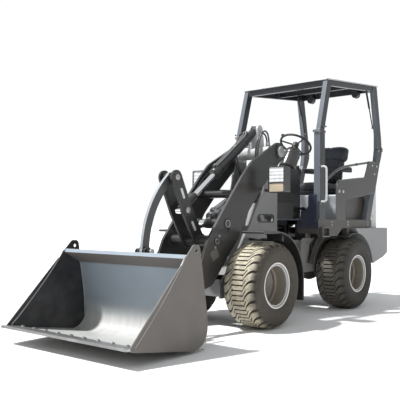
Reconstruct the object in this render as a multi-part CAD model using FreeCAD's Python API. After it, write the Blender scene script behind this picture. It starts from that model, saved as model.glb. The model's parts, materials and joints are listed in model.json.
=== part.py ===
import FreeCAD, Part
import math
import os

# Compact articulated wheel loader, millimetres.
# +X points forward, +Y to the driver's left, +Z up.  The origin is on the ground, under the middle of
# the machine's box.  A point in side view is written (x, z), where x is measured ahead of the front
# axle in the wheels, front frame and working arm, and ahead of the rear axle in the rest.

# ---------------------------------------------------------------- driving dimensions
WHEELBASE = 1650.0
FRONT_REACH = 1888.0             # front axle to the bucket's cutting edge
REAR_OVERHANG = 870.0            # rear axle to the back of the counterweight
FRONT_AXLE_X = (WHEELBASE + REAR_OVERHANG - FRONT_REACH) / 2
REAR_AXLE_X = FRONT_AXLE_X - WHEELBASE

TYRE_RADIUS = 393.5
TYRE_HALF_WIDTH = 188.0
TYRE_TREAD_HALF = 150.0
WHEEL_Y = 472.0                  # centre plane of each wheel
RIM_RADIUS = 190.5
RIM_FLANGE_RADIUS = 205.5
RIM_HALF_WIDTH = 165.0
RIM_WALL = 8.0
DISC_OFFSET = 40.0               # wheel disc, inboard of the wheel's centre plane
DISC_THICKNESS = 14.0
HUB_RADIUS = 78.0
HUB_DEPTH = 46.0                 # hub behind the wheel disc
HUB_FLANGE_RADIUS = 112.0
SPINDLE_RADIUS = 42.0
RUNNING_GAP = 0.05               # radial gap of a pin or spindle in its bore

PIVOT_REACH = WHEELBASE / 2      # articulation pin, from either axle
PIVOT_PIN_RADIUS = 28.0
FACE_GAP = 0.4                   # between curved faces or sides that slide past each other

# working arm, in side view
TOWER_BACK = 190.0 - PIVOT_REACH                # rear face of the tower
BOOM_PIVOT = (-580.0, 1690.0)
TILT_ANCHOR = (-543.0, 1931.0)
LIFT_ANCHOR = (-500.0, 1345.0)
LIFT_PIN = (283.0, 951.0)
LEVER_PIVOT = (433.0, 795.0)
LEVER_MID = (603.0, 1069.0)
LEVER_TOP = (743.0, 1353.0)
HITCH_PIVOT = (975.0, 330.0)
HITCH_TOP = (1040.0, 717.0)
PIN_RADIUS = 22.0
HITCH_TOP_PIN_RADIUS = 18.0

BOOM_OUTER_Y = 278.0             # outer face of each boom arm
BOOM_PLATE = 25.0
TOWER_OUTER_Y = 215.0
TOWER_PLATE = 20.0
LEVER_GAP = 62.0                 # half the space between the lever's plates
LEVER_PLATE = 20.0
LINK_THICKNESS = 30.0
CYLINDER_EYE_WIDTH = 60.0

TILT_BORE_RADIUS = 46.0
LIFT_BORE_RADIUS = 50.0
TILT_ROD_RADIUS = 25.0
LIFT_ROD_RADIUS = 25.0

BUCKET_WIDTH = 1422.0
BUCKET_PLATE = 10.0
BUCKET_EDGE_Z = 124.0

CHASSIS_LOW = TYRE_RADIUS + 76.5 # underside of the rear chassis
CHASSIS_TOP = CHASSIS_LOW + 320
FLOOR_Z = TYRE_RADIUS + 606.5    # top of the driver's floor
FLOOR_PLATE = 12.0
SILL_Z = 820.0
PLATFORM_HALF = 560.0
GUARD_PLATE = 8.0
ROPS_POST_WIDTH = 72.0
ROPS_OUTER_Y = PLATFORM_HALF - GUARD_PLATE       # outer face of the posts
ROPS_POST_DEPTH = 108.0
UPPER_POST_WIDTH = 52.0

parts = {}
datum = FRONT_AXLE_X             # the axle that places are measured from


# ---------------------------------------------------------------- helpers
def measure_from(axle_x):
    """Take the places that follow as measured from this axle."""
    global datum
    datum = axle_x


def ahead(x):
    """Part x of a place given ahead of the axle that is measured from."""
    return datum + x


def vec(x, y, z):
    return FreeCAD.Vector(x, y, z)


def side(point, y=0.0):
    """Side-view point (x, z) as a vector at width y."""
    return vec(ahead(point[0]), y, point[1])


def box(x0, x1, y0, y1, z0, z1):
    """Box between two corners, x measured ahead of the axle."""
    return Part.makeBox(x1 - x0, y1 - y0, z1 - z0, vec(ahead(x0), y0, z0))


def rod(point, radius, y0, y1):
    """Round bar across the machine, through a side-view point."""
    return Part.makeCylinder(radius, y1 - y0, side(point, y0), vec(0, 1, 0))


def tube(point, outer, inner, y0, y1):
    return rod(point, outer, y0, y1).cut(rod(point, inner, y0 - 1, y1 + 1))


def bar(start, end, radius):
    """Round bar between two vectors."""
    return Part.makeCylinder(radius, (end - start).Length, start, end - start)


def rounded_wire(points, radii):
    """Closed wire through corner vectors, each corner replaced by a tangent arc of its radius."""
    edges = []
    count = len(points)
    starts, ends, mids = [], [], []
    for i in range(count):
        before, here, after = points[i - 1], points[i], points[(i + 1) % count]
        back = (before - here).normalize()
        on = (after - here).normalize()
        half = back.getAngle(on) / 2
        radius = radii[i] if isinstance(radii, (list, tuple)) else radii
        if radius <= 0 or abs(half - math.pi / 2) < 1e-6:
            starts.append(here)
            ends.append(here)
            mids.append(None)
            continue
        reach = radius / math.tan(half)
        centre = here + (back + on).normalize() * (radius / math.sin(half))
        starts.append(here + back * reach)
        ends.append(here + on * reach)
        mids.append(centre + (here - centre).normalize() * radius)
    for i in range(count):
        if mids[i] is not None:
            edges.append(Part.Arc(starts[i], mids[i], ends[i]).toShape())
        following = starts[(i + 1) % count]
        if (following - ends[i]).Length > 1e-6:
            edges.append(Part.LineSegment(ends[i], following).toShape())
    return Part.Wire(edges)


def plate(points, y0, y1, radii=0.0, holes=()):
    """Flat plate across y0..y1 from a side-view outline; holes are (point, radius)."""
    wire = rounded_wire([side(p, y0) for p in points], radii)
    solid = Part.Face(wire).extrude(vec(0, y1 - y0, 0))
    for point, radius in holes:
        solid = solid.cut(rod(point, radius, y0 - 1, y1 + 1))
    return solid


def flat(points, z0, z1, radii=0.0):
    """Level plate from a plan-view outline of (x, y)."""
    wire = rounded_wire([vec(ahead(x), y, z0) for x, y in points], radii)
    return Part.Face(wire).extrude(vec(0, 0, z1 - z0))


def strap(a, b, radius, y0, y1):
    """Bar with round ends about two side-view points."""
    dx, dz = b[0] - a[0], b[1] - a[1]
    length = math.hypot(dx, dz)
    nx, nz = -dz / length * radius, dx / length * radius
    middle = plate([(a[0] + nx, a[1] + nz), (a[0] - nx, a[1] - nz),
                    (b[0] - nx, b[1] - nz), (b[0] + nx, b[1] + nz)], y0, y1)
    return middle.fuse([rod(a, radius, y0, y1), rod(b, radius, y0, y1)]).removeSplitter()


def join(first, *others):
    """One solid from pieces that touch or overlap."""
    return first.fuse(list(others)).removeSplitter()


def mirror(shape):
    """Copy on the other side of the machine."""
    return shape.mirror(vec(0, 0, 0), vec(0, 1, 0))


def both(shape):
    return [shape, mirror(shape)]


def turned(profile, centre):
    """Ring about a cross axle: profile of (radius, y), with arcs given as three points."""
    edges = []
    for piece in profile:
        spots = [vec(centre.x + r, centre.y + y, centre.z) for r, y in piece]
        if len(spots) == 2:
            edges.append(Part.LineSegment(*spots).toShape())
        else:
            edges.append(Part.Arc(*spots).toShape())
    face = Part.Face(Part.Wire(edges))
    return face.revolve(centre, vec(0, 1, 0), 360)


def between(a, b, share):
    return (a[0] + (b[0] - a[0]) * share, a[1] + (b[1] - a[1]) * share)


def add(name, *solids):
    """Store one node, of one solid or of several that don't touch."""
    parts[name] = solids[0] if len(solids) == 1 else Part.makeCompound(list(solids))


# ---------------------------------------------------------------- wheels
def tyre(centre):
    """Low, wide tyre: beads on the rim, round shoulders, gently crowned tread."""
    tread = TYRE_TREAD_HALF
    width = TYRE_HALF_WIDTH
    bead = RIM_HALF_WIDTH - 14
    shoulder = TYRE_RADIUS - 28
    waist = TYRE_RADIUS - 95
    return turned([
        [(RIM_RADIUS, -bead), (RIM_RADIUS, bead)],
        [(RIM_RADIUS, bead), (RIM_FLANGE_RADIUS + 12, bead + 4)],
        [(RIM_FLANGE_RADIUS + 12, bead + 4), (waist, width), (shoulder, width - 14)],
        [(shoulder, width - 14), (TYRE_RADIUS - 8, tread + 18), (TYRE_RADIUS - 3, tread)],
        [(TYRE_RADIUS - 3, tread), (TYRE_RADIUS, 0), (TYRE_RADIUS - 3, -tread)],
        [(TYRE_RADIUS - 3, -tread), (TYRE_RADIUS - 8, -tread - 18), (shoulder, 14 - width)],
        [(shoulder, 14 - width), (waist, -width), (RIM_FLANGE_RADIUS + 12, -bead - 4)],
        [(RIM_FLANGE_RADIUS + 12, -bead - 4), (RIM_RADIUS, -bead)]], centre)


def rim(centre, outward):
    """Deep-dished rim: barrel with flanges, disc set inboard, hub with a bore for the spindle."""
    half = RIM_HALF_WIDTH
    flange = 12.0
    inner = RIM_RADIUS - RIM_WALL
    disc_in = -DISC_OFFSET - DISC_THICKNESS
    disc_out = -DISC_OFFSET
    hub_in = disc_in - HUB_DEPTH
    hub_out = disc_out + 34
    bore = SPINDLE_RADIUS + RUNNING_GAP
    dish = 60.0
    # outline in (radius, distance outward), walked round once
    spots = [(bore, hub_in), (HUB_RADIUS, hub_in), (HUB_RADIUS, disc_in), (inner - dish, disc_in),
             (inner - 14, disc_in + dish - 20), (inner - 14, -20), (inner, -20 - 14), (inner, -half + flange),
             (RIM_FLANGE_RADIUS - 6, -half), (RIM_FLANGE_RADIUS, -half + 4),
             (RIM_FLANGE_RADIUS - 2, -half + flange), (RIM_RADIUS - 0.2, -half + flange + 2),
             (RIM_RADIUS - 0.2, half - flange - 2),
             (RIM_FLANGE_RADIUS - 2, half - flange), (RIM_FLANGE_RADIUS, half - 4),
             (RIM_FLANGE_RADIUS - 6, half), (inner, half - flange), (inner, 40), (inner - 14, 24),
             (inner - 14, disc_out + dish - 20), (inner - dish, disc_out), (HUB_RADIUS, disc_out),
             (HUB_RADIUS - 12, hub_out), (bore, hub_out)]
    profile = [[(r0, y0 * outward), (r1, y1 * outward)]
               for (r0, y0), (r1, y1) in zip(spots, spots[1:] + spots[:1])]
    return turned(profile, centre)


def build_wheels():
    for end, axle in (("front", 0.0), ("rear", -WHEELBASE)):
        for name, outward in (("left", 1), ("right", -1)):
            centre = vec(ahead(axle), WHEEL_Y * outward, TYRE_RADIUS)
            add(f"{end}_{name}_tyre", tyre(centre))
            add(f"{end}_{name}_rim", rim(centre, outward))


def axle(x, housing):
    """Beam with a swollen middle housing, and a hub flange and spindle at each end."""
    middle = (x, TYRE_RADIUS)
    hub_face = WHEEL_Y - DISC_OFFSET - DISC_THICKNESS - HUB_DEPTH - FACE_GAP
    spindle_end = WHEEL_Y - DISC_OFFSET + 30
    bell = 0.62 * housing
    half = [[(0, 0), (housing, 0)],
            [(housing, 0), (housing - 6, bell * 0.6), (bell, bell * 1.5)],
            [(bell, bell * 1.5), (AXLE_BEAM_RADIUS, 175)],
            [(AXLE_BEAM_RADIUS, 175), (AXLE_BEAM_RADIUS, hub_face - 55)],
            [(AXLE_BEAM_RADIUS, hub_face - 55), (HUB_FLANGE_RADIUS, hub_face - 30)],
            [(HUB_FLANGE_RADIUS, hub_face - 30), (HUB_FLANGE_RADIUS, hub_face)],
            [(HUB_FLANGE_RADIUS, hub_face), (SPINDLE_RADIUS, hub_face)],
            [(SPINDLE_RADIUS, hub_face), (SPINDLE_RADIUS, spindle_end)],
            [(SPINDLE_RADIUS, spindle_end), (0, spindle_end)],
            [(0, spindle_end), (0, 0)]]
    right = turned(half, side(middle, 0))
    motor = Part.makeCylinder(62, 190, side(middle, 0), vec(-1, 0, 0))
    return join(right, mirror(right), motor)


def strip(points, thickness, y0, y1, radii):
    """Bent sheet across y0..y1: a side-view line given its thickness on the left of its direction."""
    def unit(a, b):
        length = math.hypot(b[0] - a[0], b[1] - a[1])
        return ((b[0] - a[0]) / length, (b[1] - a[1]) / length)
    last = len(points) - 1
    offset, inner_radii = [], []
    for i, here in enumerate(points):
        into = unit(points[i - 1], here) if i else unit(here, points[1])
        out = unit(here, points[i + 1]) if i < last else into
        nx, nz = -(into[1] + out[1]), into[0] + out[0]
        share = 2 * thickness / (nx * nx + nz * nz)
        offset.append((here[0] + nx * share, here[1] + nz * share))
        turn = into[0] * out[1] - into[1] * out[0]
        radius = radii[i]
        inner_radii.append(0 if radius == 0 else max(radius - math.copysign(thickness, turn), 0.5))
    return plate(list(points) + offset[::-1], y0, y1, list(radii) + inner_radii[::-1])


def hose(points, radius):
    """Round hose along straight runs joined by arcs as large as the runs allow."""
    edges = []
    start = points[0]
    for i in range(1, len(points) - 1):
        before, here, after = points[i - 1], points[i], points[i + 1]
        back = (before - here).normalize()
        on = (after - here).normalize()
        reach = 0.45 * min((before - here).Length, (after - here).Length)
        half = back.getAngle(on) / 2
        centre = here + (back + on).normalize() * (reach / math.cos(half))
        middle = centre + (here - centre).normalize() * (reach * math.tan(half))
        edges.append(Part.LineSegment(start, here + back * reach).toShape())
        edges.append(Part.Arc(here + back * reach, middle, here + on * reach).toShape())
        start = here + on * reach
    edges.append(Part.LineSegment(start, points[-1]).toShape())
    path = Part.Wire(edges)
    ring = Part.Wire(Part.Circle(points[0], points[1] - points[0], radius).toShape())
    return path.makePipeShell([ring], True, False)


# ---------------------------------------------------------------- front frame
TOWER_TOP = 1690.0
CROSS_TUBE_RADIUS = 66.0
TOWER_OUTLINE = [(TOWER_BACK, TOWER_TOP), (TOWER_BACK + 125, TOWER_TOP), (-383, 1290), (-90, 841), (225, 482),
                 (300, 400), (300, 268), (-260, 268), (TOWER_BACK + 115, 330), (TOWER_BACK, 330)]
TOWER_RADII = [40, 60, 120, 150, 40, 20, 20, 40, 60, 10]
AXLE_BEAM_RADIUS = 60.0
TOWER_SLOT = (-425.0, 1005.0)
EAR_THICKNESS = 26.0
EAR_RADIUS = 72.0
LOWER_EAR_Z = 332.0
UPPER_EAR_Z = CHASSIS_TOP - 18


def pivot_ear(z0, reach, width, hole):
    """Level plate from the frame at reach to the articulation pin, round at the pin."""
    pin = (math.copysign(PIVOT_REACH, reach), 0)
    arm = flat([(reach, width), (pin[0], EAR_RADIUS), (pin[0], -EAR_RADIUS), (reach, -width)],
               z0, z0 + EAR_THICKNESS)
    end = Part.makeCylinder(EAR_RADIUS, EAR_THICKNESS, vec(ahead(pin[0]), 0, z0))
    bore = Part.makeCylinder(hole, EAR_THICKNESS + 2, vec(ahead(pin[0]), 0, z0 - 1))
    return join(arm, end).cut(bore)


def slot(centre, half, radius, y0, y1, upright=False):
    """Long hole in side view, along x or upright."""
    dx, dz = (0, half) if upright else (half, 0)
    return strap((centre[0] - dx, centre[1] - dz), (centre[0] + dx, centre[1] + dz), radius, y0, y1)


def ear_pair(point, root, radius, gap, thickness):
    """Two ears either side of the middle plane, from a root point to a pin."""
    return [strap(root, point, radius, y0, y1) for y0, y1 in ((gap, gap + thickness), (-gap - thickness, -gap))]


def build_front_frame():
    inner = TOWER_OUTER_Y - TOWER_PLATE
    outer = TOWER_OUTER_Y
    side_plate = plate(TOWER_OUTLINE, inner, outer, TOWER_RADII)
    side_plate = side_plate.cut(slot(TOWER_SLOT, 105, 30, inner - 1, outer + 1))
    side_plate = side_plate.cut(rod((0, TYRE_RADIUS), AXLE_BEAM_RADIUS + FACE_GAP, inner - 1, outer + 1))
    back = box(TOWER_BACK, TOWER_BACK + 16, -inner, inner, 330, 1540)
    reach = BOOM_OUTER_Y - BOOM_PLATE - FACE_GAP
    cross_tube = rod(BOOM_PIVOT, CROSS_TUBE_RADIUS, -reach, reach)
    floor = box(TOWER_BACK + 16, -260, -inner, inner, 330, 346)
    shield = strip([(-345, 1150), (-125, 840), (190, 470)], 10, -inner, inner, [0, 100, 0])
    nose = box(270, 286, -inner, inner, 285, 440)
    tower = join(side_plate, mirror(side_plate), back, cross_tube, floor, shield, nose)
    gap = CYLINDER_EYE_WIDTH / 2 + 4
    top_ears = ear_pair(TILT_ANCHOR, BOOM_PIVOT, 48, gap, 24)
    low_ears = ear_pair(LIFT_ANCHOR, (TOWER_BACK + 15, 1345), 46, gap, 24)
    low_ears = [e.cut(box(TOWER_BACK - 200, TOWER_BACK, -300, 300, 1200, 1500)) for e in low_ears]
    pins = [rod(TILT_ANCHOR, PIN_RADIUS, -gap - 34, gap + 34), rod(LIFT_ANCHOR, PIN_RADIUS, -gap - 34, gap + 34)]
    stubs = both(join(rod(BOOM_PIVOT, 34, inner - 6, BOOM_OUTER_Y + 14),
                      rod(BOOM_PIVOT, 56, BOOM_OUTER_Y + 14, BOOM_OUTER_Y + 24)))
    ears = [pivot_ear(z, TOWER_BACK + 15, 150, PIVOT_PIN_RADIUS) for z in (LOWER_EAR_Z, UPPER_EAR_Z)]
    pin = Part.makeCylinder(PIVOT_PIN_RADIUS, UPPER_EAR_Z + EAR_THICKNESS - LOWER_EAR_Z + 24,
                            vec(ahead(-PIVOT_REACH), 0, LOWER_EAR_Z - 12))
    steer_ears = []
    for z in (STEER_Z - 30 - 14, STEER_Z + 30):
        tab = flat([(TOWER_BACK + 1, STEER_TIP[1] - 30), (STEER_TIP[0], STEER_TIP[1] - 30),
                    (STEER_TIP[0], STEER_TIP[1] + 30), (TOWER_BACK + 1, STEER_TIP[1] + 30)], z, z + 14)
        steer_ears.append(join(tab, upright(STEER_TIP, 30, z, z + 14)))
    add("front_frame", join(tower, *top_ears, *low_ears, *pins, *stubs, *ears, pin, *steer_ears))
    add("front_axle", axle(0.0, 110).cut(box(-800, -190, -300, 300, 200, 600)))


FENDER_LIFT = 31.5               # middle of a front fender's curve, above the axle
FENDER_ROOM = 58.5               # from the tyre's tread to that curve
FENDER_STAY = 77.0               # stay, below the top of the fender


def fender_arch(centre, radius, thickness, front, rear, y0, y1):
    """Bent sheet over a wheel: level at the front, round over the wheel, upright behind it."""
    cx, cz = centre
    outer = [(front, cz + radius), (cx - radius, cz + radius), (cx - radius, rear)]
    return strip(outer, thickness, y0, y1, [0, radius * 0.98, 0])


def build_front_fenders():
    solids = []
    middle, radius = TYRE_RADIUS + FENDER_LIFT, TYRE_RADIUS + FENDER_ROOM
    stay_z = middle + radius - FENDER_STAY
    for sign in (1, -1):
        y0, y1 = (408, 640) if sign > 0 else (-640, -408)
        sheet = fender_arch((-5, middle), radius, 8, 205, 215, y0, y1)
        stay = bar(vec(ahead(-150), sign * TOWER_OUTER_Y, stay_z), vec(ahead(-150), sign * 600, stay_z), 14)
        lug = box(-168, -132, min(sign * 430, sign * 600), max(sign * 430, sign * 600), stay_z, stay_z + 50)
        trim = box(-400, 400, -TOWER_OUTER_Y, TOWER_OUTER_Y, stay_z - 100, stay_z + 100)
        solids.append(join(sheet, stay.cut(trim), lug))
    add("front_fenders", *solids)


LAMP_X = -205.0
LAMP_DEPTH = 105.0
LAMP_Y = (392.0, 576.0)
LAMP_Z = (1250.0, 1502.0)


def build_headlamps():
    housings, lenses, flashers = [], [], []
    y0, y1 = LAMP_Y
    z0, z1 = LAMP_Z
    wall = 8
    split = z0 + 0.37 * (z1 - z0)
    for sign in (1, -1):
        def lamp_box(x0, x1, a, b, c, d):
            return box(x0, x1, min(sign * a, sign * b), max(sign * a, sign * b), c, d)
        shell = lamp_box(LAMP_X - LAMP_DEPTH, LAMP_X, y0, y1, z0, z1)
        shell = shell.makeFillet(14, [e for e in shell.Edges if abs(e.BoundBox.YLength) < 1
                                      and e.BoundBox.XLength > 50])
        shell = shell.cut(lamp_box(LAMP_X - 60, LAMP_X + 1, y0 + wall, y1 - wall, split + wall, z1 - wall))
        shell = shell.cut(lamp_box(LAMP_X - 40, LAMP_X + 1, y0 + wall, y1 - wall, z0 + wall, split))
        back = LAMP_X - LAMP_DEPTH
        arm = bar(vec(ahead(-440), sign * (TOWER_OUTER_Y - 20), 1285),
                  vec(ahead(back + 10), sign * (y0 + 40), 1295), 16)
        arm = arm.cut(box(-700, 0, -TOWER_OUTER_Y, TOWER_OUTER_Y, 1200, 1400))
        housings.append(join(shell, arm))
        fit = 0.3
        lenses.append(lamp_box(LAMP_X - 25, LAMP_X - 3, y0 + wall + fit, y1 - wall - fit,
                               split + wall + fit, z1 - wall - fit))
        flashers.append(lamp_box(LAMP_X - 25, LAMP_X - 3, y0 + wall + fit, y1 - wall - fit,
                                 z0 + wall + fit, split - fit))
    add("headlamp_housings", *housings)
    add("headlamp_lenses", *lenses)
    add("indicator_lenses", *flashers)


# ---------------------------------------------------------------- boom, lever and link
BOOM_OUTLINE = [(-665, 1780), (-530, 1780), (-90, 1545), (57, 1402), (335, 1077), (552, 812), (633, 625),
                (780, 480), (1046, 402), (1046, 258), (958, 258), (880, 372), (608, 378), (485, 413), (282, 640),
                (111, 818), (-19, 1043), (-256, 1291), (-606, 1600), (-668, 1600)]
BOOM_RADII = [80, 60, 200, 200, 400, 300, 120, 120, 70, 70, 20, 60, 120, 120, 200, 200, 300, 300, 60, 60]


def build_boom():
    outer = BOOM_OUTER_Y
    inner = outer - BOOM_PLATE
    holes = [(BOOM_PIVOT, 34 + RUNNING_GAP), (HITCH_PIVOT, PIN_RADIUS + RUNNING_GAP)]
    arm = plate(BOOM_OUTLINE, inner, outer, BOOM_RADII, holes)
    arm = arm.cut(strap((262, 905), (296, 945), 16, inner - 1, outer + 1))
    boss = tube(BOOM_PIVOT, 74, 34 + RUNNING_GAP, outer, outer + 13)
    arm = join(arm, boss)
    tubes = []
    lift_gap = CYLINDER_EYE_WIDTH / 2 + 6
    hub = LEVER_GAP + LEVER_PLATE + 3
    for sign in (1, -1):
        def across(point, radius, y0, y1):
            return rod(point, radius, min(sign * y0, sign * y1), max(sign * y0, sign * y1))
        tubes.append(across(LIFT_PIN, 46, lift_gap, inner + 1))
        tubes.append(across(LEVER_PIVOT, 52, hub, inner + 1))
    brace = rod((5, 1235), 38, -inner - 1, inner + 1)
    lever_pin = rod(LEVER_PIVOT, 28, -hub - 1, hub + 1)
    add("boom", join(arm, mirror(arm), *tubes, brace, lever_pin))


def build_lever():
    inner = LEVER_GAP
    outer = LEVER_GAP + LEVER_PLATE
    nodes = []
    for sign in (1, -1):
        y0, y1 = (inner, outer) if sign > 0 else (-outer, -inner)
        side_plate = join(strap(LEVER_PIVOT, LEVER_MID, 66, y0, y1), strap(LEVER_MID, LEVER_TOP, 64, y0, y1))
        cap = rod(LEVER_MID, 32, y1 - 1 if sign > 0 else y0 - 9, y1 + 9 if sign > 0 else y0 + 1)
        top_cap = rod(LEVER_TOP, 32, y1 - 1 if sign > 0 else y0 - 9, y1 + 9 if sign > 0 else y0 + 1)
        nodes += [side_plate, cap, top_cap]
    hub = rod(LEVER_PIVOT, 50, -outer, outer)
    bosses = both(rod(LEVER_TOP, 36, LINK_THICKNESS / 2 + LINK_SIDE_GAP, inner + 1))
    solid = join(*nodes, hub, *bosses).cut(rod(LEVER_PIVOT, 28 + RUNNING_GAP, -outer - 1, outer + 1))
    add("tilt_lever", solid)


LINK_BOW = 70.0
LINK_SIDE_GAP = 6.0


def build_link():
    """Bowed flat bar from the lever's top to the hitch."""
    half = LINK_THICKNESS / 2
    top, low = LEVER_TOP, HITCH_TOP
    dx, dz = low[0] - top[0], low[1] - top[1]
    length = math.hypot(dx, dz)
    nx, nz = -dz / length, dx / length

    def bow(distance, share):
        """Point beside the straight line between the pins."""
        return (top[0] + dx * share + nx * distance, top[1] + dz * share + nz * distance)

    def arc(distance, middle):
        return Part.Arc(side(bow(distance, 0), -half), side(bow(middle, 0.5), -half),
                        side(bow(distance, 1), -half)).toShape()
    width = 44.0
    outer = arc(width, width + LINK_BOW)
    inner = arc(-width, LINK_BOW - width * 0.7)
    ends = [Part.LineSegment(side(bow(width, s), -half), side(bow(-width, s), -half)).toShape() for s in (0, 1)]
    face = Part.Face(Part.Wire(Part.__sortEdges__([outer, inner, *ends])))
    body = face.extrude(vec(0, 2 * half, 0))
    solid = join(body, rod(top, width, -half, half), rod(low, width, -half, half))
    add("tilt_link", solid.cut(rod(low, HITCH_TOP_PIN_RADIUS + RUNNING_GAP, -half - 1, half + 1)))


# ---------------------------------------------------------------- cylinders
def build_cylinder(name, base, tip, bore_radius, rod_radius, barrel_end, rod_tail, bore_start):
    """Barrel with a rear eye and a gland, and its rod with a front eye; distances run from the base pin."""
    start, end = side(base), side(tip)
    axis = (end - start).normalize()
    half = CYLINDER_EYE_WIDTH / 2
    eye = rod(base, 42, -half, half)
    barrel = join(bar(start, start + axis * (barrel_end - 40), bore_radius),
                  bar(start + axis * (barrel_end - 70), start + axis * barrel_end, bore_radius + 5))
    barrel = barrel.cut(rod(base, 96, -150, 150))
    stem = bar(start, start + axis * 115, 34)
    stem = stem.common(Part.makeBox(400, 2 * half, 400, vec(start.x - 200, -half, start.z - 200)))
    barrel = join(eye, stem, barrel)
    barrel = barrel.cut(rod(base, PIN_RADIUS + RUNNING_GAP, -half - 1, half + 1))
    barrel = barrel.cut(bar(start + axis * bore_start, start + axis * (barrel_end + 1), rod_radius + RUNNING_GAP))
    shaft = bar(start + axis * rod_tail, end - axis * 20, rod_radius)
    piston_rod = join(shaft, rod(tip, 40, -half, half))
    add(f"{name}_barrel", barrel)
    add(f"{name}_rod", piston_rod)


def build_cylinders():
    build_cylinder("tilt_cylinder", TILT_ANCHOR, LEVER_MID, TILT_BORE_RADIUS, TILT_ROD_RADIUS, 850, 460, 110)
    build_cylinder("lift_cylinder", LIFT_ANCHOR, LIFT_PIN, LIFT_BORE_RADIUS, LIFT_ROD_RADIUS, 768, 110, 80)


# ---------------------------------------------------------------- bucket and hitch
BUCKET_LINE = [(1297, 704), (1130, 610), (1072, 279), (1050, -4), (1790, 106)]
BUCKET_LINE_RADII = [0, 60, 200, 150, 0]


def build_bucket():
    half = BUCKET_WIDTH / 2
    sheet = strip(BUCKET_LINE, BUCKET_PLATE, -half + BUCKET_PLATE, half - BUCKET_PLATE, BUCKET_LINE_RADII)
    outline = [(1312, 712), (1232, 800), (1165, 800), (1130, 610), (1072, 279), (1050, -4), (1790, 106), (1862, 120)]
    plate_radii = [30, 34, 34, 300, 200, 150, 0, 20]
    cheek = plate(outline, half - BUCKET_PLATE, half, plate_radii, [((1199, 752), 14)])
    bar_top = plate([(1290, 688), (1310, 700), (1295, 728), (1273, 716)], -half + BUCKET_PLATE, half - BUCKET_PLATE)
    lugs = []
    for y in (305, -325):
        lugs.append(plate([(1064, 235), (1012, 205), (1000, 240), (1020, 275), (1074, 290)], y, y + 20, 0,
                          [((1034, 236), 15.4)]))
        lugs.append(plate([(1130, 590), (1060, 592), (1016, 640), (1020, 690), (1052, 704), (1100, 640), (1165, 626)],
                          y, y + 20))
    solid = join(sheet, cheek, mirror(cheek), bar_top)
    add("bucket", join(solid, *lugs))
    edge = plate([(1888, BUCKET_EDGE_Z + 6), (1740, 99 + 12), (1740, 99 + 28), (1880, 99 + 28 + 21)], -half, half)
    add("bucket_cutting_edge", edge.cut(solid))


def build_hitch():
    outer = BOOM_OUTER_Y - BOOM_PLATE - FACE_GAP
    inner = outer - 20
    pin_end = BOOM_OUTER_Y + 14
    back_low, back_high = (1068, 262), (1128, 600)
    solids = []
    for sign in (1, -1):
        y0, y1 = (inner, outer) if sign > 0 else (-outer, -inner)
        cheek = plate([back_low, (1040, 232), (960, 262), (905, 330), (935, 430), (1010, 640), back_high],
                      y0, y1, [0, 10, 30, 60, 60, 30, 0])
        low_pin = rod(HITCH_PIVOT, PIN_RADIUS, sign * (inner - 5) if sign > 0 else -pin_end,
                      pin_end if sign > 0 else -(inner - 5))
        solids += [cheek, low_pin]
    cross = rod((1040, 620), 26, -inner - 1, inner + 1)
    foot = rod((1000, 290), 22, -inner - 1, inner + 1)
    gap = LINK_THICKNESS / 2 + LINK_SIDE_GAP
    ears = ear_pair(HITCH_TOP, (1040, 620), 40, gap, 20)
    link_pin = rod(HITCH_TOP, HITCH_TOP_PIN_RADIUS, -gap - 32, gap + 32)
    add("quick_hitch", join(*solids, cross, foot, *ears, link_pin))


# ---------------------------------------------------------------- rear frame
CHASSIS_Y = 262.0
CHASSIS_PLATE = 16.0
CHASSIS_SLOT = (405.0, 633.0)


def build_rear_frame():
    outer, inner = CHASSIS_Y, CHASSIS_Y - CHASSIS_PLATE
    outline = [(610, CHASSIS_TOP - 22), (550, CHASSIS_TOP), (-450, CHASSIS_TOP), (-450, CHASSIS_LOW),
               (250, CHASSIS_LOW), (290, 420), (550, 420), (610, 460)]
    side_plate = plate(outline, inner, outer, [20, 20, 0, 0, 20, 30, 60, 30])
    side_plate = side_plate.cut(slot(CHASSIS_SLOT, 62, 32, inner - 1, outer + 1, upright=True))
    bore = PIVOT_PIN_RADIUS + RUNNING_GAP
    upper = pivot_ear(UPPER_EAR_Z - EAR_THICKNESS - FACE_GAP, 550, inner, bore)
    lower = pivot_ear(LOWER_EAR_Z + EAR_THICKNESS + FACE_GAP, 550, inner, bore)
    front = box(578, 594, -inner, inner, LOWER_EAR_Z + EAR_THICKNESS + FACE_GAP, CHASSIS_TOP - 30)
    members = [box(x - 30, x + 30, -inner, inner, CHASSIS_LOW + 6, CHASSIS_LOW + 30) for x in (200, -230, -420)]
    front = front.cut(box(530, 600, STEER_BASE[1] - 60, STEER_BASE[1] + 60, STEER_Z - 60, STEER_Z + 60))
    drop = box(540, 594, -inner, inner, LOWER_EAR_Z + EAR_THICKNESS + FACE_GAP, 430)
    ears = steering_ears(STEER_BASE, inner + 1, 14, 24 + FACE_GAP)
    steer_pin = upright(STEER_BASE, 14, STEER_Z - 42, STEER_Z + 42)
    add("rear_frame", join(side_plate, mirror(side_plate), upper, lower, front, drop, *members, *ears, steer_pin))
    rear_axle = axle(0.0, 105)
    pads = [box(-50, 50, min(s * 236, s * 290), max(s * 236, s * 290),
                TYRE_RADIUS, CHASSIS_LOW) for s in (1, -1)]
    add("rear_axle", join(rear_axle, *pads))
    add("engine_block", box(-410, 10, -190, 190, CHASSIS_LOW + 30, 955))


WHEEL_ROOM = TYRE_RADIUS + 62
COUNTERWEIGHT_TOP = TYRE_RADIUS + 508.5
TOW_JAW = (655.0, 715.0)         # underside and roof of the towing jaw
TOW_JAW_DEPTH = 95.0
TOW_JAW_HALF = 70.0
TOW_PIN_BORE = 16.0
TOW_BORE_DEPTH = 55.0            # of the pin's bore above the jaw


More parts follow.
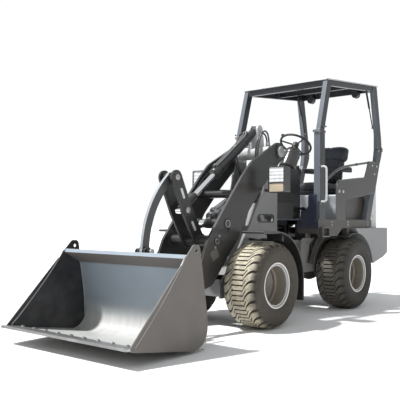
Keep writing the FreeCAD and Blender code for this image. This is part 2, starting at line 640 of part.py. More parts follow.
def build_counterweight():
    rear = -REAR_OVERHANG
    outline = [(rear, COUNTERWEIGHT_TOP), (rear, 600), (-738, 548), (-462, 486), (-462, COUNTERWEIGHT_TOP)]
    block = plate(outline, -620, 620, [25, 25, 40, 10, 0])
    block = block.cut(box(rear - 1, rear + TOW_JAW_DEPTH, -TOW_JAW_HALF, TOW_JAW_HALF, *TOW_JAW))
    block = block.cut(upright((rear + 52, 0), TOW_PIN_BORE, 500, TOW_JAW[1] + TOW_BORE_DEPTH))
    wing = plate([(10, COUNTERWEIGHT_TOP), (-463, COUNTERWEIGHT_TOP), (-463, 486)], 300, 620)
    wheel_room = rod((0.0, TYRE_RADIUS), WHEEL_ROOM, 250, 700)
    wing = wing.cut(wheel_room)
    add("counterweight", join(block, wing, mirror(wing), *hinge_lugs()))


ARCH_INNER_Y = 300.0
ARCH_OUTER_RADIUS = 520.0


def sector(centre, radius, first, last, y0, y1):
    """Wedge about a cross axle between two angles, in degrees above the forward direction."""
    reach = radius / math.cos(math.radians((last - first) / 2))
    rays = [(centre[0] + reach * math.cos(math.radians(a)), centre[1] + reach * math.sin(math.radians(a)))
            for a in (first, (first + last) / 2, last)]
    return plate([centre, *rays], y0, y1)


def build_rear_fenders():
    """Short lip over each rear tyre, with an arched inner plate that runs on ahead of the wheel."""
    solids = []
    centre = (0.0, TYRE_RADIUS)
    radius = WHEEL_ROOM - 0.3
    for sign in (1, -1):
        y0, y1 = (ARCH_INNER_Y, 618) if sign > 0 else (-618, -ARCH_INNER_Y)
        a, b = (ARCH_INNER_Y, ARCH_INNER_Y + 6) if sign > 0 else (-ARCH_INNER_Y - 6, -ARCH_INNER_Y)
        lip = tube(centre, radius, radius - 8, y0, y1).common(sector(centre, 600, 66, 104, y0 - 1, y1 + 1))
        arch = tube(centre, ARCH_OUTER_RADIUS, radius - 8, a, b).common(sector(centre, 600, 14, 86, a - 1, b + 1))
        lug = box(50, 110, min(sign * 500, sign * 560), max(sign * 500, sign * 560),
                  COUNTERWEIGHT_TOP - 102, COUNTERWEIGHT_TOP + FACE_GAP)
        lug = lug.cut(rod(centre, radius - 4, -700, 700))
        solids.append(join(lip, arch, lug))
    add("rear_fenders", *solids)


FLOOR_FRONT = 765.0
NOTCH_BACK = 555.0
NOTCH_HALF = 305.0
SEAT_BOX_FRONT = 30.0
SEAT_BOX_REAR = -535.0
SEAT_BOX_HALF = ROPS_OUTER_Y - ROPS_POST_WIDTH - 10


TOE_BOARD = 92.0                 # height of the upstand along the floor's front edge
TOE_BOARD_SIDE = 258.0           # and of its rise beside each front post


def front_board(sign):
    """Upstand on the floor's front edge, rising in a round corner beside the front post."""
    outer, inner = PLATFORM_HALF - 20, NOTCH_HALF + 40
    post = outer - 105
    points = [(outer, FLOOR_Z - 1), (outer, FLOOR_Z + TOE_BOARD_SIDE), (post, FLOOR_Z + TOE_BOARD_SIDE),
              (post, FLOOR_Z + TOE_BOARD), (inner, FLOOR_Z + TOE_BOARD), (inner, FLOOR_Z - 1)]
    wire = rounded_wire([vec(ahead(FLOOR_FRONT - 10), sign * y, z) for y, z in points], [0, 10, 20, 40, 20, 0])
    return Part.Face(wire).extrude(vec(8, 0, 0))


def build_platform():
    half = PLATFORM_HALF
    outline = [(FLOOR_FRONT, half), (FLOOR_FRONT, NOTCH_HALF), (NOTCH_BACK, NOTCH_HALF),
               (NOTCH_BACK, -NOTCH_HALF), (FLOOR_FRONT, -NOTCH_HALF), (FLOOR_FRONT, -half),
               (SEAT_BOX_REAR, -half), (SEAT_BOX_REAR, half)]
    floor = flat(outline, FLOOR_Z - FLOOR_PLATE, FLOOR_Z, [20, 40, 60, 60, 40, 20, 0, 0])
    well = box(-430, 20, -300, 300, FLOOR_Z - 50, FLOOR_Z + 1)
    solids = [floor.cut(well)]
    for sign in (1, -1):
        y0, y1 = (half - 12, half) if sign > 0 else (-half, 12 - half)
        over = COUNTERWEIGHT_TOP + FACE_GAP
        sill = plate([(FLOOR_FRONT, FLOOR_Z - 2), (SEAT_BOX_REAR, FLOOR_Z - 2), (SEAT_BOX_REAR, over + 10),
                      (-463, over), (230, over), (350, SILL_Z), (FLOOR_FRONT, SILL_Z)],
                     y0, y1, [10, 0, 0, 0, 60, 60, 20])
        solids.append(sill)
        a, b = (NOTCH_HALF + 2, half - 12) if sign > 0 else (12 - half, -NOTCH_HALF - 2)
        solids.append(box(FLOOR_FRONT - 14, FLOOR_FRONT - 2, a - 1, b + 1, 850, FLOOR_Z - 2))
        toe = front_board(sign)
        solids.append(toe)
        for x in (470, 90, -430):
            a, b = (CHASSIS_Y - 16, half - 5) if sign > 0 else (5 - half, 16 - CHASSIS_Y)
            solids.append(box(x - 25, x + 25, a, b, COUNTERWEIGHT_TOP + 28, FLOOR_Z - 2))
            a, b = (CHASSIS_Y - 16, CHASSIS_Y + 20) if sign > 0 else (-CHASSIS_Y - 20, 16 - CHASSIS_Y)
            solids.append(box(x - 25, x + 25, a, b, CHASSIS_TOP, FLOOR_Z - 2))
    add("platform", join(*solids))


def rounded_box(x0, x1, half, z0, z1, radius):
    """Box with its upright edges and its upper rim rounded."""
    solid = box(x0, x1, -half, half, z0, z1)
    edges = [e for e in solid.Edges if e.BoundBox.ZLength > 1 or e.BoundBox.ZMin > z1 - 1]
    return solid.makeFillet(radius, edges)


def shell_box(x0, x1, half, z0, z1, wall, radius):
    """Cover of even wall, open below, with rounded corners."""
    inside = rounded_box(x0 + wall, x1 - wall, half - wall, z0 - 50, z1 - wall, radius - wall)
    return rounded_box(x0, x1, half, z0, z1, radius).cut(inside)


def build_seat_box():
    shell = shell_box(SEAT_BOX_REAR, SEAT_BOX_FRONT, SEAT_BOX_HALF, FLOOR_Z, 1290, 5, 22)
    add("seat_box", shell)


def build_seat():
    base = join(box(-480, -60, -170, 170, 1290, 1330), box(-520, -40, -215, 215, 1330, 1345),
                plate([(-510, 1340), (-526, 1340), (-612, 1760), (-596, 1760)], -150, 150))
    cushion = box(-490, -20, -235, 235, 1345.3, 1450)
    cushion = cushion.makeFillet(38, [e for e in cushion.Edges if e.BoundBox.ZMin > 1440])
    back = join(plate([(-422, 1455), (-532, 1450), (-600, 1785), (-480, 1785)], -205, 205, [44, 20, 20, 20]),
                plate([(-462, 1690), (-576, 1690), (-632, 1918), (-524, 1932)], -252, 252, [30, 20, 50, 50]))
    arms = []
    for sign in (1, -1):
        a, b = (236, 276) if sign > 0 else (-276, -236)
        pad = plate([(-590, 1640), (-280, 1620), (-280, 1580), (-590, 1590)], a, b, 15)
        c, d = (140, 250) if sign > 0 else (-250, -140)
        arms.append(join(pad, rod((-582, 1614), 12, c, d)))
    add("seat_frame", join(base, *arms))
    add("seat_cushions", cushion, back)


STEER_TOP = (306.0, 1864.0)
STEER_FOOT = (542.0, 1500.0)
STEERING_WHEEL_RADIUS = 180.0


def build_controls():
    console = plate([(NOTCH_BACK - 4, FLOOR_Z), (400, FLOOR_Z), (400, 1420), (440, 1560), (NOTCH_BACK + 65, 1560),
                     (NOTCH_BACK + 65, 1330), (NOTCH_BACK - 4, 1200)], -120, 120, [0, 0, 60, 40, 40, 60, 40])
    top, foot = side(STEER_TOP), side(STEER_FOOT)
    axis = (top - foot).normalize()
    column = bar(foot, top - axis * 40, 24)
    shroud = Part.makeCone(96, 52, 255, top - axis * 345, axis)
    add("console", join(console, column, shroud))
    pads = []
    for y in (150, 240):
        pads.append(join(plate([(465, FLOOR_Z), (435, FLOOR_Z), (352, 1090), (394, 1108)], y, y + 22),
                         plate([(428, 1120), (338, 1078), (332, 1090), (422, 1132)], y - 24, y + 46)))
    lever = join(bar(vec(ahead(-50), -330, 1285), vec(ahead(-50), -330, 1560), 8),
                 Part.makeSphere(24, vec(ahead(-50), -330, 1575)),
                 Part.makeCone(34, 16, 60, vec(ahead(-50), -330, 1290)))
    lever = lever.cut(box(-150, 50, -400, -250, 1200, 1290))
    add("driving_controls", *pads, lever)
    ring = Part.makeTorus(STEERING_WHEEL_RADIUS, 13, top, axis)
    boss = bar(top - axis * (40 - FACE_GAP), top + axis * 8, 38)
    spokes = []
    for angle in (90, 210, 330):
        a = math.radians(angle)
        across = vec(0, 1, 0)
        up = axis.cross(across)
        way = across * math.cos(a) + up * math.sin(a)
        spokes.append(bar(top + way * 25 - axis * 8, top + way * (STEERING_WHEEL_RADIUS - 3), 9))
    add("steering_wheel", join(ring, boss, *spokes))


# ---------------------------------------------------------------- roll bar and canopy
KNEE_Z = 1930.0                  # joint of the front posts
KNEE_PLATE = 12.0
HINGE_Z = 1880.0                 # and of the rear posts
FRONT_POST_X = 720.0
REAR_FOOT_X = -400.0
REAR_POST_LEAN = 0.40
ROOF_FRONT = (565.0, 2506.0)
ROOF_SLOPE = 0.12
FRONT_BEAM = (553.0, 478.0, 66.0)        # front face, rear face and depth of each roof beam
MIDDLE_BEAM = (-90.0, -140.0, 50.0)
REAR_BEAM = (-640.0, -700.0, 66.0)


def roof_z(x):
    """Underside of the roof panel, which rises to the rear."""
    return ROOF_FRONT[1] + (ROOF_FRONT[0] - x) * ROOF_SLOPE


def build_rops():
    """Two folding halves: posts up to the knees, and upper posts that carry the roof's beams."""
    outer = ROPS_OUTER_Y
    front_inner = outer - ROPS_POST_WIDTH
    inner = outer - UPPER_POST_WIDTH
    low, high = KNEE_Z - KNEE_PLATE, KNEE_Z + KNEE_PLATE
    front_back = FRONT_POST_X - ROPS_POST_DEPTH
    front_low = plate([(FRONT_POST_X, FLOOR_Z), (front_back, FLOOR_Z), (front_back, KNEE_Z), (FRONT_POST_X, KNEE_Z)],
                      front_inner, outer)
    flange_low = box(front_back - 6, FRONT_POST_X + 14, front_inner - 8, outer + 6, low, KNEE_Z)
    flange_up = box(front_back - 6, FRONT_POST_X + 14, front_inner - 8, outer + 6, KNEE_Z, high)
    rear_low = plate([(REAR_FOOT_X, FLOOR_Z), (REAR_FOOT_X - 124, FLOOR_Z), (-765, 1640), (-828, 1754), (-862, 1830),
                      (-862, HINGE_Z), (-735, HINGE_Z), (-700, 1720), (rear_post_front(1600), 1600)],
                     inner, outer, [0, 0, 80, 40, 20, 10, 10, 60, 80])
    front_up = plate([(FRONT_POST_X, KNEE_Z), (FRONT_POST_X - 92, KNEE_Z), (458, roof_z(458)),
                      (555, roof_z(555))], inner, outer)
    rear_up = plate([(-735, HINGE_Z), (-862, HINGE_Z), (-846, 2020), (-712, roof_z(-712)), (-612, roof_z(-612)),
                     (-735, 2060)], inner, outer, [0, 10, 60, 10, 10, 60])
    knuckle = rod((-858, HINGE_Z), 22, inner + 8, outer - 8)
    beam = plate([(550, roof_z(550)), (538, roof_z(538) - 64), (-640, roof_z(-640) - 64),
                  (-640, roof_z(-640))], inner + 8, outer - 8)
    lower, upper = [], []
    for shape in (join(front_low, flange_low), rear_low):
        lower += both(shape)
    upper += both(join(front_up, flange_up, rear_up.fuse(knuckle).cut(rear_low), beam))
    cross = []
    for front, rear, depth in (FRONT_BEAM, MIDDLE_BEAM, REAR_BEAM):
        cross.append(plate([(front, roof_z(front)), (front - 6, roof_z(front) - depth),
                            (rear, roof_z(rear) - depth), (rear, roof_z(rear))], -inner - 9, inner + 9))
    add("rops_lower", *lower)
    add("rops_upper", join(*upper, *cross))
    add("roof_panel", strip([(-735, roof_z(-735)), (565, roof_z(565))], 8, -PLATFORM_HALF, PLATFORM_HALF, [0, 0]))


def rear_post_front(z):
    """Front edge of the leaning rear post."""
    return REAR_FOOT_X - (z - FLOOR_Z) * REAR_POST_LEAN


def build_side_guards():
    """Plate beside the driver, arched below and lapped over the rear post, with a tube rail above it."""
    rail_y = PLATFORM_HALF - 14
    outline = [(371, FLOOR_Z), (363, 1425), (-345, 1500), (-450, 1700), (-783, 1700), (-640, 1335), (150, 1225),
               (150, FLOOR_Z)]
    guard = plate(outline, ROPS_OUTER_Y, PLATFORM_HALF, [0, 140, 60, 20, 10, 10, 110, 0])
    rail_points = [vec(ahead(x), rail_y, z) for x, z in
                   ((-660, 1712), (-481, 1691), (-152, 1642), (128, 1599), (250, 1568), (392, 1514), (520, 1445),
                    (FRONT_POST_X - ROPS_POST_DEPTH - 0.3, 1390))]
    solid = join(guard, hose(rail_points, 13)).cut(parts["rops_lower"])
    add("side_guards", solid, mirror(solid))


HANDLE_REACH = 70.0              # of the grab handles, out from the front posts


def build_grab_handles():
    x = ahead(FRONT_POST_X - 16)
    face = ROPS_OUTER_Y + 0.3
    loop = [vec(x, face, 1552), vec(x, face + HANDLE_REACH, 1552), vec(x, face + HANDLE_REACH, 1184),
            vec(x, face, 1184)]
    handle = hose(loop, 11)
    add("grab_handles", handle, mirror(handle))


def build_gas_struts():
    """Gas spring from the roof's side beam to the rear post, on each side."""
    inner = ROPS_OUTER_Y - UPPER_POST_WIDTH
    y = inner - 14
    high, low = (-545, roof_z(-545) - 40), (-733, 2150)
    start, end = side(high, y), side(low, y)
    axis = (end - start).normalize()
    spring = join(bar(start - axis * 14, start + axis * 240, 12), bar(start + axis * 200, end + axis * 14, 7),
                  rod(high, 9, y - 12, inner + 8 - 0.3), rod(low, 9, y - 12, inner - 0.3))
    add("gas_struts", spring, mirror(spring))


def build_work_lamps():
    """Round lamp on a bracket under the roof, just ahead of its rear beam, on each side."""
    lamps = []
    x = REAR_BEAM[0] + 34
    middle = roof_z(x) - 78
    for sign in (1, -1):
        y = sign * 320
        body = Part.makeCylinder(46, 62, vec(ahead(x + 31), y, middle), vec(-1, 0, 0))
        foot = plate([(x - 15, middle + 30), (x + 15, middle + 30), (x + 15, roof_z(x + 15) - 0.3),
                      (x - 15, roof_z(x - 15) - 0.3)], y - 16, y + 16)
        lamps.append(join(body, foot))
    add("work_lamps", *lamps)


STEP_WALL = 6.0


def build_step_boxes():
    """Open box outside each sill that a foot goes into."""
    inner, outer = PLATFORM_HALF + FACE_GAP, PLATFORM_HALF + 42
    block = box(595, 750, inner, outer, 815, 915)
    block = block.cut(box(595 + STEP_WALL, 750 - STEP_WALL, inner + STEP_WALL, outer + 1,
                          815 + STEP_WALL, 915 - STEP_WALL))
    add("step_boxes", block, mirror(block))


HOOD_CLEARANCE = 6.0             # from each side of the hood to the rear posts
HOOD_FRONT = -575.0
HOOD_REAR = -840.0
HOOD_HALF = ROPS_OUTER_Y - UPPER_POST_WIDTH - HOOD_CLEARANCE
HOOD_HINGE = (-853.0, COUNTERWEIGHT_TOP + 13)
HINGE_PIN_RADIUS = 5.0


def build_hood():
    z0 = COUNTERWEIGHT_TOP + FACE_GAP
    shell = shell_box(HOOD_REAR, HOOD_FRONT, HOOD_HALF, z0, 1420, 5, 30)
    for i in range(7):
        z = 1010 + 48 * i
        shell = shell.cut(box(HOOD_REAR - 5, HOOD_REAR + 6, -300, 300, z, z + 22))
    knuckles = []
    for y in (-330, 330):
        bridge = box(HOOD_HINGE[0], HOOD_REAR + 1, y - 15, y + 15, HOOD_HINGE[1] - 4, HOOD_HINGE[1] + 9)
        knuckles.append(join(rod(HOOD_HINGE, 9, y - 15, y + 15), bridge)
                        .cut(rod(HOOD_HINGE, HINGE_PIN_RADIUS + RUNNING_GAP, y - 20, y + 20)))
    add("hood", join(shell, *knuckles))


def hinge_lugs():
    """Fixed knuckles and pins of the hood's two hinges."""
    lugs = []
    for y in (-330, 330):
        for a, b in ((y - 30, y - 15 - FACE_GAP), (y + 15 + FACE_GAP, y + 30)):
            lugs.append(join(rod(HOOD_HINGE, 9, a, b),
                             box(HOOD_HINGE[0] - 9, HOOD_HINGE[0] + 9, a, b, COUNTERWEIGHT_TOP - 1, HOOD_HINGE[1])))
        lugs.append(rod(HOOD_HINGE, HINGE_PIN_RADIUS, y - 30, y + 30))
    return lugs


STEER_Z = CHASSIS_LOW + 95
STEER_BASE = (250.0, 160.0)      # on the rear frame
STEER_TIP = (47.0 - PIVOT_REACH, 170.0)   # on the front frame, from the front axle


def level(point, z):
    return vec(ahead(point[0]), point[1], z)


def upright(point, radius, z0, z1):
    """Round bar standing upright at a plan point."""
    return Part.makeCylinder(radius, z1 - z0, level(point, z0))


def build_steering_cylinder():
    far_eye = (STEER_TIP[0] + WHEELBASE, STEER_TIP[1])
    base, tip = level(STEER_BASE, STEER_Z), level(far_eye, STEER_Z)
    axis = (tip - base).normalize()
    eye = upright(STEER_BASE, 26, STEER_Z - 24, STEER_Z + 24)
    barrel = join(eye, bar(base + axis * 18, base + axis * 60, 20), bar(base + axis * 45, base + axis * 420, 30))
    barrel = barrel.cut(upright(STEER_BASE, 14 + RUNNING_GAP, 0, 900))
    barrel = barrel.cut(bar(base + axis * 60, base + axis * 421, 16 + RUNNING_GAP))
    shaft = join(bar(base + axis * 240, tip - axis * 18, 16), upright(far_eye, 26, STEER_Z - 24, STEER_Z + 24))
    add("steering_cylinder_barrel", barrel)
    add("steering_cylinder_rod", shaft)


def steering_ears(point, wall_y, thickness, gap):
    """Two level ears above and below a steering cylinder eye."""
    solids = []
    for z in (STEER_Z - gap - thickness, STEER_Z + gap):
        plan = flat([(point[0] - 30, wall_y), (point[0] - 30, point[1]), (point[0] + 30, point[1]),
                     (point[0] + 30, wall_y)], z, z + thickness)
        solids.append(join(plan, upright(point, 30, z, z + thickness)))
    return solids


def build_hoses():
    """Hydraulic hoses: loops over the tower, and pairs along the inside of each boom arm."""
    loops, lines = [], []
    for sign in (1, -1):
        for k in range(2):
            y = sign * (118 + 26 * k)
            rise = 20 * k
            points = [(-580, BOOM_PIVOT[1] + CROSS_TUBE_RADIUS + 0.3), (-580, 1815), (-556, 1868 + rise),
                      (-505, 1890 + rise), (-445, 1860 + rise), (-402, 1795), (-378, 1715),
                      (-376, 1625), (-402, 1540), (-455, 1470), (-530, 1435), (TOWER_BACK + 16.3, 1435)]
            loops.append(hose([vec(ahead(x), y, z) for x, z in points], 9))
            drop = 22 * k
            run = [(-470, 1705), (-390, 1668), (-250, 1594), (-110, 1508), (10, 1412), (120, 1292), (230, 1162),
                   (330, 1044), (425, 928)]
            lines.append(hose([vec(ahead(x - 0.6 * drop), sign * (BOOM_OUTER_Y - BOOM_PLATE - 8.3), z - 14 - drop)
                               for x, z in run], 8))
    add("tower_hoses", *loops)
    add("boom_hoses", *lines)


def build_all():
    measure_from(FRONT_AXLE_X)
    for build in (build_wheels, build_front_frame, build_front_fenders, build_headlamps, build_boom, build_lever,
                  build_link, build_cylinders, build_bucket, build_hitch, build_hoses):
        build()
    measure_from(REAR_AXLE_X)
    for build in (build_rear_frame, build_counterweight, build_rear_fenders, build_platform, build_seat_box,
                  build_seat, build_controls, build_rops, build_side_guards, build_grab_handles, build_gas_struts,
                  build_work_lamps, build_step_boxes, build_hood, build_steering_cylinder):
        build()
    os.makedirs("parts", exist_ok=True)
    for name, shape in parts.items():
        shape.exportStep(f"parts/{name}.step")


build_all()
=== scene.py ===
import json
import math
import bmesh
import bpy
import numpy as np
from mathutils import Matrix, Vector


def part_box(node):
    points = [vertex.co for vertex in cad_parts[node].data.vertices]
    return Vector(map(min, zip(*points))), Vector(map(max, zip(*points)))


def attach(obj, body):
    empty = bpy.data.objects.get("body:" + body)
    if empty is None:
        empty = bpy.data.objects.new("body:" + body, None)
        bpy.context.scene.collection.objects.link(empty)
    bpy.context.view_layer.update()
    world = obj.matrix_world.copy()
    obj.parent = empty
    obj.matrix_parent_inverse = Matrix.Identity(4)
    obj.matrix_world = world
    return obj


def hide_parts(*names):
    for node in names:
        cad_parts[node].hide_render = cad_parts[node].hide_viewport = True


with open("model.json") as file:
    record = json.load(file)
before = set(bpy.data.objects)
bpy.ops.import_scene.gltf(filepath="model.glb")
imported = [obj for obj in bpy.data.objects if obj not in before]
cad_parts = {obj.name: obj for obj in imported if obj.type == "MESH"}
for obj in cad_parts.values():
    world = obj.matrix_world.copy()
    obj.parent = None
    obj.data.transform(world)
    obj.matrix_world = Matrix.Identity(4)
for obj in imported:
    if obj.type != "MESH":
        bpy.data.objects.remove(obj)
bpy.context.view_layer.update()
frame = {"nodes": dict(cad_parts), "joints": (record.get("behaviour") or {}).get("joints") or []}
nodes = frame["nodes"]
joints = {j["name"]: j for j in frame["joints"]}
print("frame loaded:", len(nodes), "nodes")


def boxOf(node):
    low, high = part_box(node)
    return np.array(low), np.array(high)


def pivot(joint):
    return np.array(joints[joint]["pos_m"], float)


# a Wire is one socket: adding or scaling it adds a Math node
class Wire:
    def __init__(self, shader, socket):
        self.shader, self.socket = shader, socket

    def math(self, operation, *others, first=None):
        given = [self if first is None else first, *others]
        return self.shader.node("ShaderNodeMath", {"operation": operation}, dict(enumerate(given)))

    def __add__(self, other):
        return self.math("ADD", other)

    def __sub__(self, other):
        return self.math("SUBTRACT", other)

    def __mul__(self, other):
        return self.math("MULTIPLY", other)

    def __truediv__(self, other):
        return self.math("DIVIDE", other)

    def __rsub__(self, other):
        return self.math("SUBTRACT", self, first=other)

    __radd__ = __add__
    __rmul__ = __mul__

    def above(self, edge, soft):
        # 0 below edge, 1 above it, with a ramp of width soft between them
        return ((self - edge) / soft).math("MAXIMUM", 0.0).math("MINIMUM", 1.0)

    def size(self):
        return self.math("ABSOLUTE")


class Shader:
    def __init__(self, name):
        self.material = bpy.data.materials.new(name)
        self.material.use_nodes = True
        self.tree = self.material.node_tree
        self.tree.nodes.clear()
        self.place = self.node("ShaderNodeTexCoord", output="Object")

    def node(self, kind, settings=None, values=None, output=0):
        made = self.tree.nodes.new(kind)
        for key, value in (settings or {}).items():
            setattr(made, key, value)
        for key, value in (values or {}).items():
            if isinstance(value, Wire):
                self.tree.links.new(value.socket, made.inputs[key])
            else:
                made.inputs[key].default_value = value
        return None if output is None else Wire(self, made.outputs[output])

    def stretched(self, scale, turn=(0, 0, 0)):
        return self.node("ShaderNodeMapping", None, {"Vector": self.place, "Scale": scale, "Rotation": turn})

    def noise(self, scale, detail=3.0, rough=0.55, vector=None):
        return self.node("ShaderNodeTexNoise", None, {"Vector": vector or self.place, "Scale": scale,
                                                      "Detail": detail, "Roughness": rough})

    def axis(self, letter):
        return self.node("ShaderNodeSeparateXYZ", None, {0: self.place}, output=letter)

    def facing(self, letter):
        normal = self.node("ShaderNodeTexCoord", output="Normal")
        return self.node("ShaderNodeSeparateXYZ", None, {0: normal}, output=letter)

    def mix(self, share, low, high):
        low, high = [c if isinstance(c, Wire) else (*c, 1.0) for c in (low, high)]
        return self.node("ShaderNodeMix", {"data_type": "RGBA"}, {0: share, 6: low, 7: high}, output=2)

    def bump(self, height, strength, distance, normal=None):
        values = {"Height": height, "Strength": strength, "Distance": distance}
        if normal is not None:
            values["Normal"] = normal
        return self.node("ShaderNodeBump", None, values)

    def rounded(self, radius):
        return self.node("ShaderNodeBevel", {"samples": 4}, {"Radius": radius})

    def edges(self, radius):
        # 1 on an outer or inner edge: there a rounded normal turns away from the flat one
        flat = self.node("ShaderNodeNewGeometry", output="Normal")
        same = self.node("ShaderNodeVectorMath", {"operation": "DOT_PRODUCT"},
                         {0: self.rounded(radius), 1: flat}, output="Value")
        return (1.0 - same).above(0.03, 0.12)

    def finish(self, **values):
        renamed = {key.replace("_", " "): value for key, value in values.items()}
        surface = self.node("ShaderNodeBsdfPrincipled", None, renamed)
        self.node("ShaderNodeOutputMaterial", None, {"Surface": surface}, output=None)
        return self.material


dustTone = (0.22, 0.19, 0.15)
primer = (0.12, 0.105, 0.09)
bareEdge = (0.33, 0.33, 0.33)


def shade(tone, share):
    return tuple(c * share for c in tone)


def dustOn(shader, amount, low=0.0, high=1.3):
    # dust gathers near the ground and on faces that look up, broken by noise
    ground = 1.0 - shader.axis(2).above(low, high - low)
    patches = shader.noise(9.0, 5.0).above(0.4, 0.3)
    return (ground * 0.55 + shader.facing(2).above(0.5, 0.4) * 0.35) * patches * amount


def paint(name, tone, rough=0.42, coat=0.25, dust=0.3, chips=0.5, edge=0.35, peel=0.25, second=None, where=None):
    # second is another tone, on the part of the piece that where(shader) masks: a second paint on some pieces, and
    # painted highlight and painted shade on others
    s = Shader(name)
    fine = s.noise(60.0, 3.0)
    broad = s.noise(2.2, 4.0).above(0.3, 0.45)
    colour = s.mix(broad, shade(tone, 0.84), tone)
    if second:
        colour = s.mix(where(s), colour, s.mix(broad, shade(second, 0.84), second))
    worn = s.edges(0.004) * s.noise(14.0, 5.0).above(0.36, 0.22) * edge
    colour = s.mix(worn, colour, bareEdge)
    dusty = dustOn(s, dust)
    colour = s.mix(dusty, colour, dustTone)
    # chips: dark primer shows where two noises meet, mostly as small specks
    specks = s.noise(23.0, 6.0, 0.7).above(0.70, 0.02) * s.noise(4.0, 2.0).above(0.5, 0.1) * chips
    colour = s.mix(specks, colour, primer)
    roughness = rough + (fine - 0.5) * 0.16 + dusty * 0.35
    normal = s.bump(s.noise(420.0, 2.0), peel * 0.2, 0.0006, s.rounded(0.003))
    return s.finish(Base_Color=colour, Roughness=roughness, Coat_Weight=coat * 0.5, Coat_Roughness=0.2,
                    Specular_IOR_Level=0.35, Normal=normal)


def brushedSteel(name):
    s = Shader(name)
    tone = (0.45, 0.45, 0.44)
    drawn = s.noise(90.0, 4.0, 0.6, s.stretched((0.4, 3.0, 3.0)))
    stains = s.noise(7.0, 4.0)
    colour = s.mix(stains.above(0.35, 0.4), shade(tone, 0.62), tone)
    return s.finish(Base_Color=colour, Metallic=0.8, Roughness=0.35 + (drawn - 0.5) * 0.3,
                    Normal=s.bump(drawn, 0.12, 0.0005, s.rounded(0.002)))


def rubber(name, tone, rough, dust):
    s = Shader(name)
    cloud = s.noise(14.0, 4.0)
    colour = s.mix(cloud, shade(tone, 0.75), shade(tone, 1.3))
    colour = s.mix(dustOn(s, dust, 0.0, 2.4), colour, dustTone)
    return s.finish(Base_Color=colour, Roughness=rough + (cloud - 0.5) * 0.2,
                    Normal=s.bump(s.noise(350.0, 2.0), 0.09, 0.0004))


def treadRubber(name, pale, dark, film):
    # crown is 1 on the tread's tops, 0 in the grooves and close to 0 on the sidewall
    s = Shader(name)
    crown = s.node("ShaderNodeAttribute", {"attribute_name": "crown"}, output="Fac")
    cloud = s.noise(7.0, 5.0)
    speck = s.noise(38.0, 6.0, 0.6)
    # the crown's pale dust is also painted sunlight, and its fading is partly painted shade
    dusty = crown * (0.45 + 0.75 * speck.above(0.25, 0.4)) * (0.75 + 0.25 * cloud.above(0.3, 0.4)) * film
    top = s.mix(cloud.above(0.25, 0.5), shade(pale, 0.74), pale)
    side = s.mix(speck.above(0.3, 0.4), dark, shade(dark, 1.9))
    colour = s.mix(dusty.math("MINIMUM", 1.0), side, top)
    return s.finish(Base_Color=colour, Roughness=0.74 + (speck - 0.5) * 0.2,
                    Normal=s.bump(speck, 0.3, 0.0016))


def chrome(name):
    s = Shader(name)
    film = s.noise(30.0, 4.0)
    return s.finish(Base_Color=s.mix(film, (0.78, 0.79, 0.8), (0.9, 0.9, 0.91)), Metallic=1.0,
                    Roughness=0.08 + film * 0.1)


def plastic(name, tone=(0.02, 0.02, 0.021), rough=0.5, dust=0.25, edge=0.3, coat=0.0):
    s = Shader(name)
    cloud = s.noise(5.0, 3.0)
    dusty = dustOn(s, dust, 0.3, 1.4)
    colour = s.mix(cloud, tone, shade(tone, 1.5))
    colour = s.mix(s.edges(0.005) * edge, colour, (0.2, 0.195, 0.185))
    colour = s.mix(dusty, colour, dustTone)
    pebble = s.node("ShaderNodeTexVoronoi", None, {"Vector": s.place, "Scale": 520.0})
    return s.finish(Base_Color=colour, Roughness=rough + dusty * 0.3 + (cloud - 0.5) * 0.1, Coat_Weight=coat,
                    Normal=s.bump(pebble, 0.125, 0.0005, s.rounded(0.002)))


def clearLens(name):
    # pressed glass: upright flutes crossed by level steps, over a bright reflector
    s = Shader(name)
    flute = (s.axis(1) * 420.0).math("SINE")
    step = (s.axis(2) * 190.0).math("SINE")
    film = s.noise(20.0, 3.0)
    bright = (flute * 0.25 + step * 0.25 + film).above(0.2, 0.7)
    colour = s.mix(bright, (0.42, 0.44, 0.46), (0.97, 0.97, 0.97))
    return s.finish(Base_Color=colour, Roughness=0.12 + film * 0.1, Coat_Weight=0.8, Coat_Roughness=0.05,
                    Normal=s.bump(flute + step, 0.4, 0.003))


def amberLens(name):
    s = Shader(name)
    flute = (s.axis(1) * 260.0).math("SINE")
    level = (s.axis(2) * 330.0).math("SINE")
    colour = s.mix((flute * level).above(-0.4, 0.9), (0.36, 0.28, 0.19), (0.62, 0.53, 0.4))
    return s.finish(Base_Color=colour, Roughness=0.2 + (flute * 0.05), Coat_Weight=0.7, Coat_Roughness=0.06,
                    Normal=s.bump(flute * level, 0.4, 0.002))


def vinyl(name):
    s = Shader(name)
    cells = s.node("ShaderNodeTexVoronoi", {"feature": "DISTANCE_TO_EDGE"}, {"Vector": s.place, "Scale": 230.0})
    cloud = s.noise(6.0, 4.0)
    seam = s.node("ShaderNodeAttribute", {"attribute_name": "crown"}, output="Fac")
    colour = s.mix(cloud, (0.012, 0.016, 0.024), (0.026, 0.033, 0.045))
    colour = s.mix(seam, colour, (0.005, 0.006, 0.008))
    colour = s.mix(dustOn(s, 0.2, 1.3, 1.5), colour, (0.12, 0.12, 0.12))
    creases = s.noise(26.0, 5.0, 0.6, s.stretched((1.0, 2.2, 1.0)))
    grain = s.bump(cells.above(0.0, 0.12), 0.35, 0.0005)
    return s.finish(Base_Color=colour, Roughness=0.46 + (cloud - 0.5) * 0.15, Sheen_Weight=0.15,
                    Normal=s.bump(creases, 0.18, 0.003, grain))


def castIron(name):
    s = Shader(name)
    sand = s.noise(160.0, 4.0)
    oil = s.noise(5.0, 4.0).above(0.45, 0.3)
    colour = s.mix(oil, (0.075, 0.075, 0.078), (0.03, 0.027, 0.024))
    return s.finish(Base_Color=colour, Metallic=0.4, Roughness=0.7 - oil * 0.25, Normal=s.bump(sand, 0.5, 0.001))


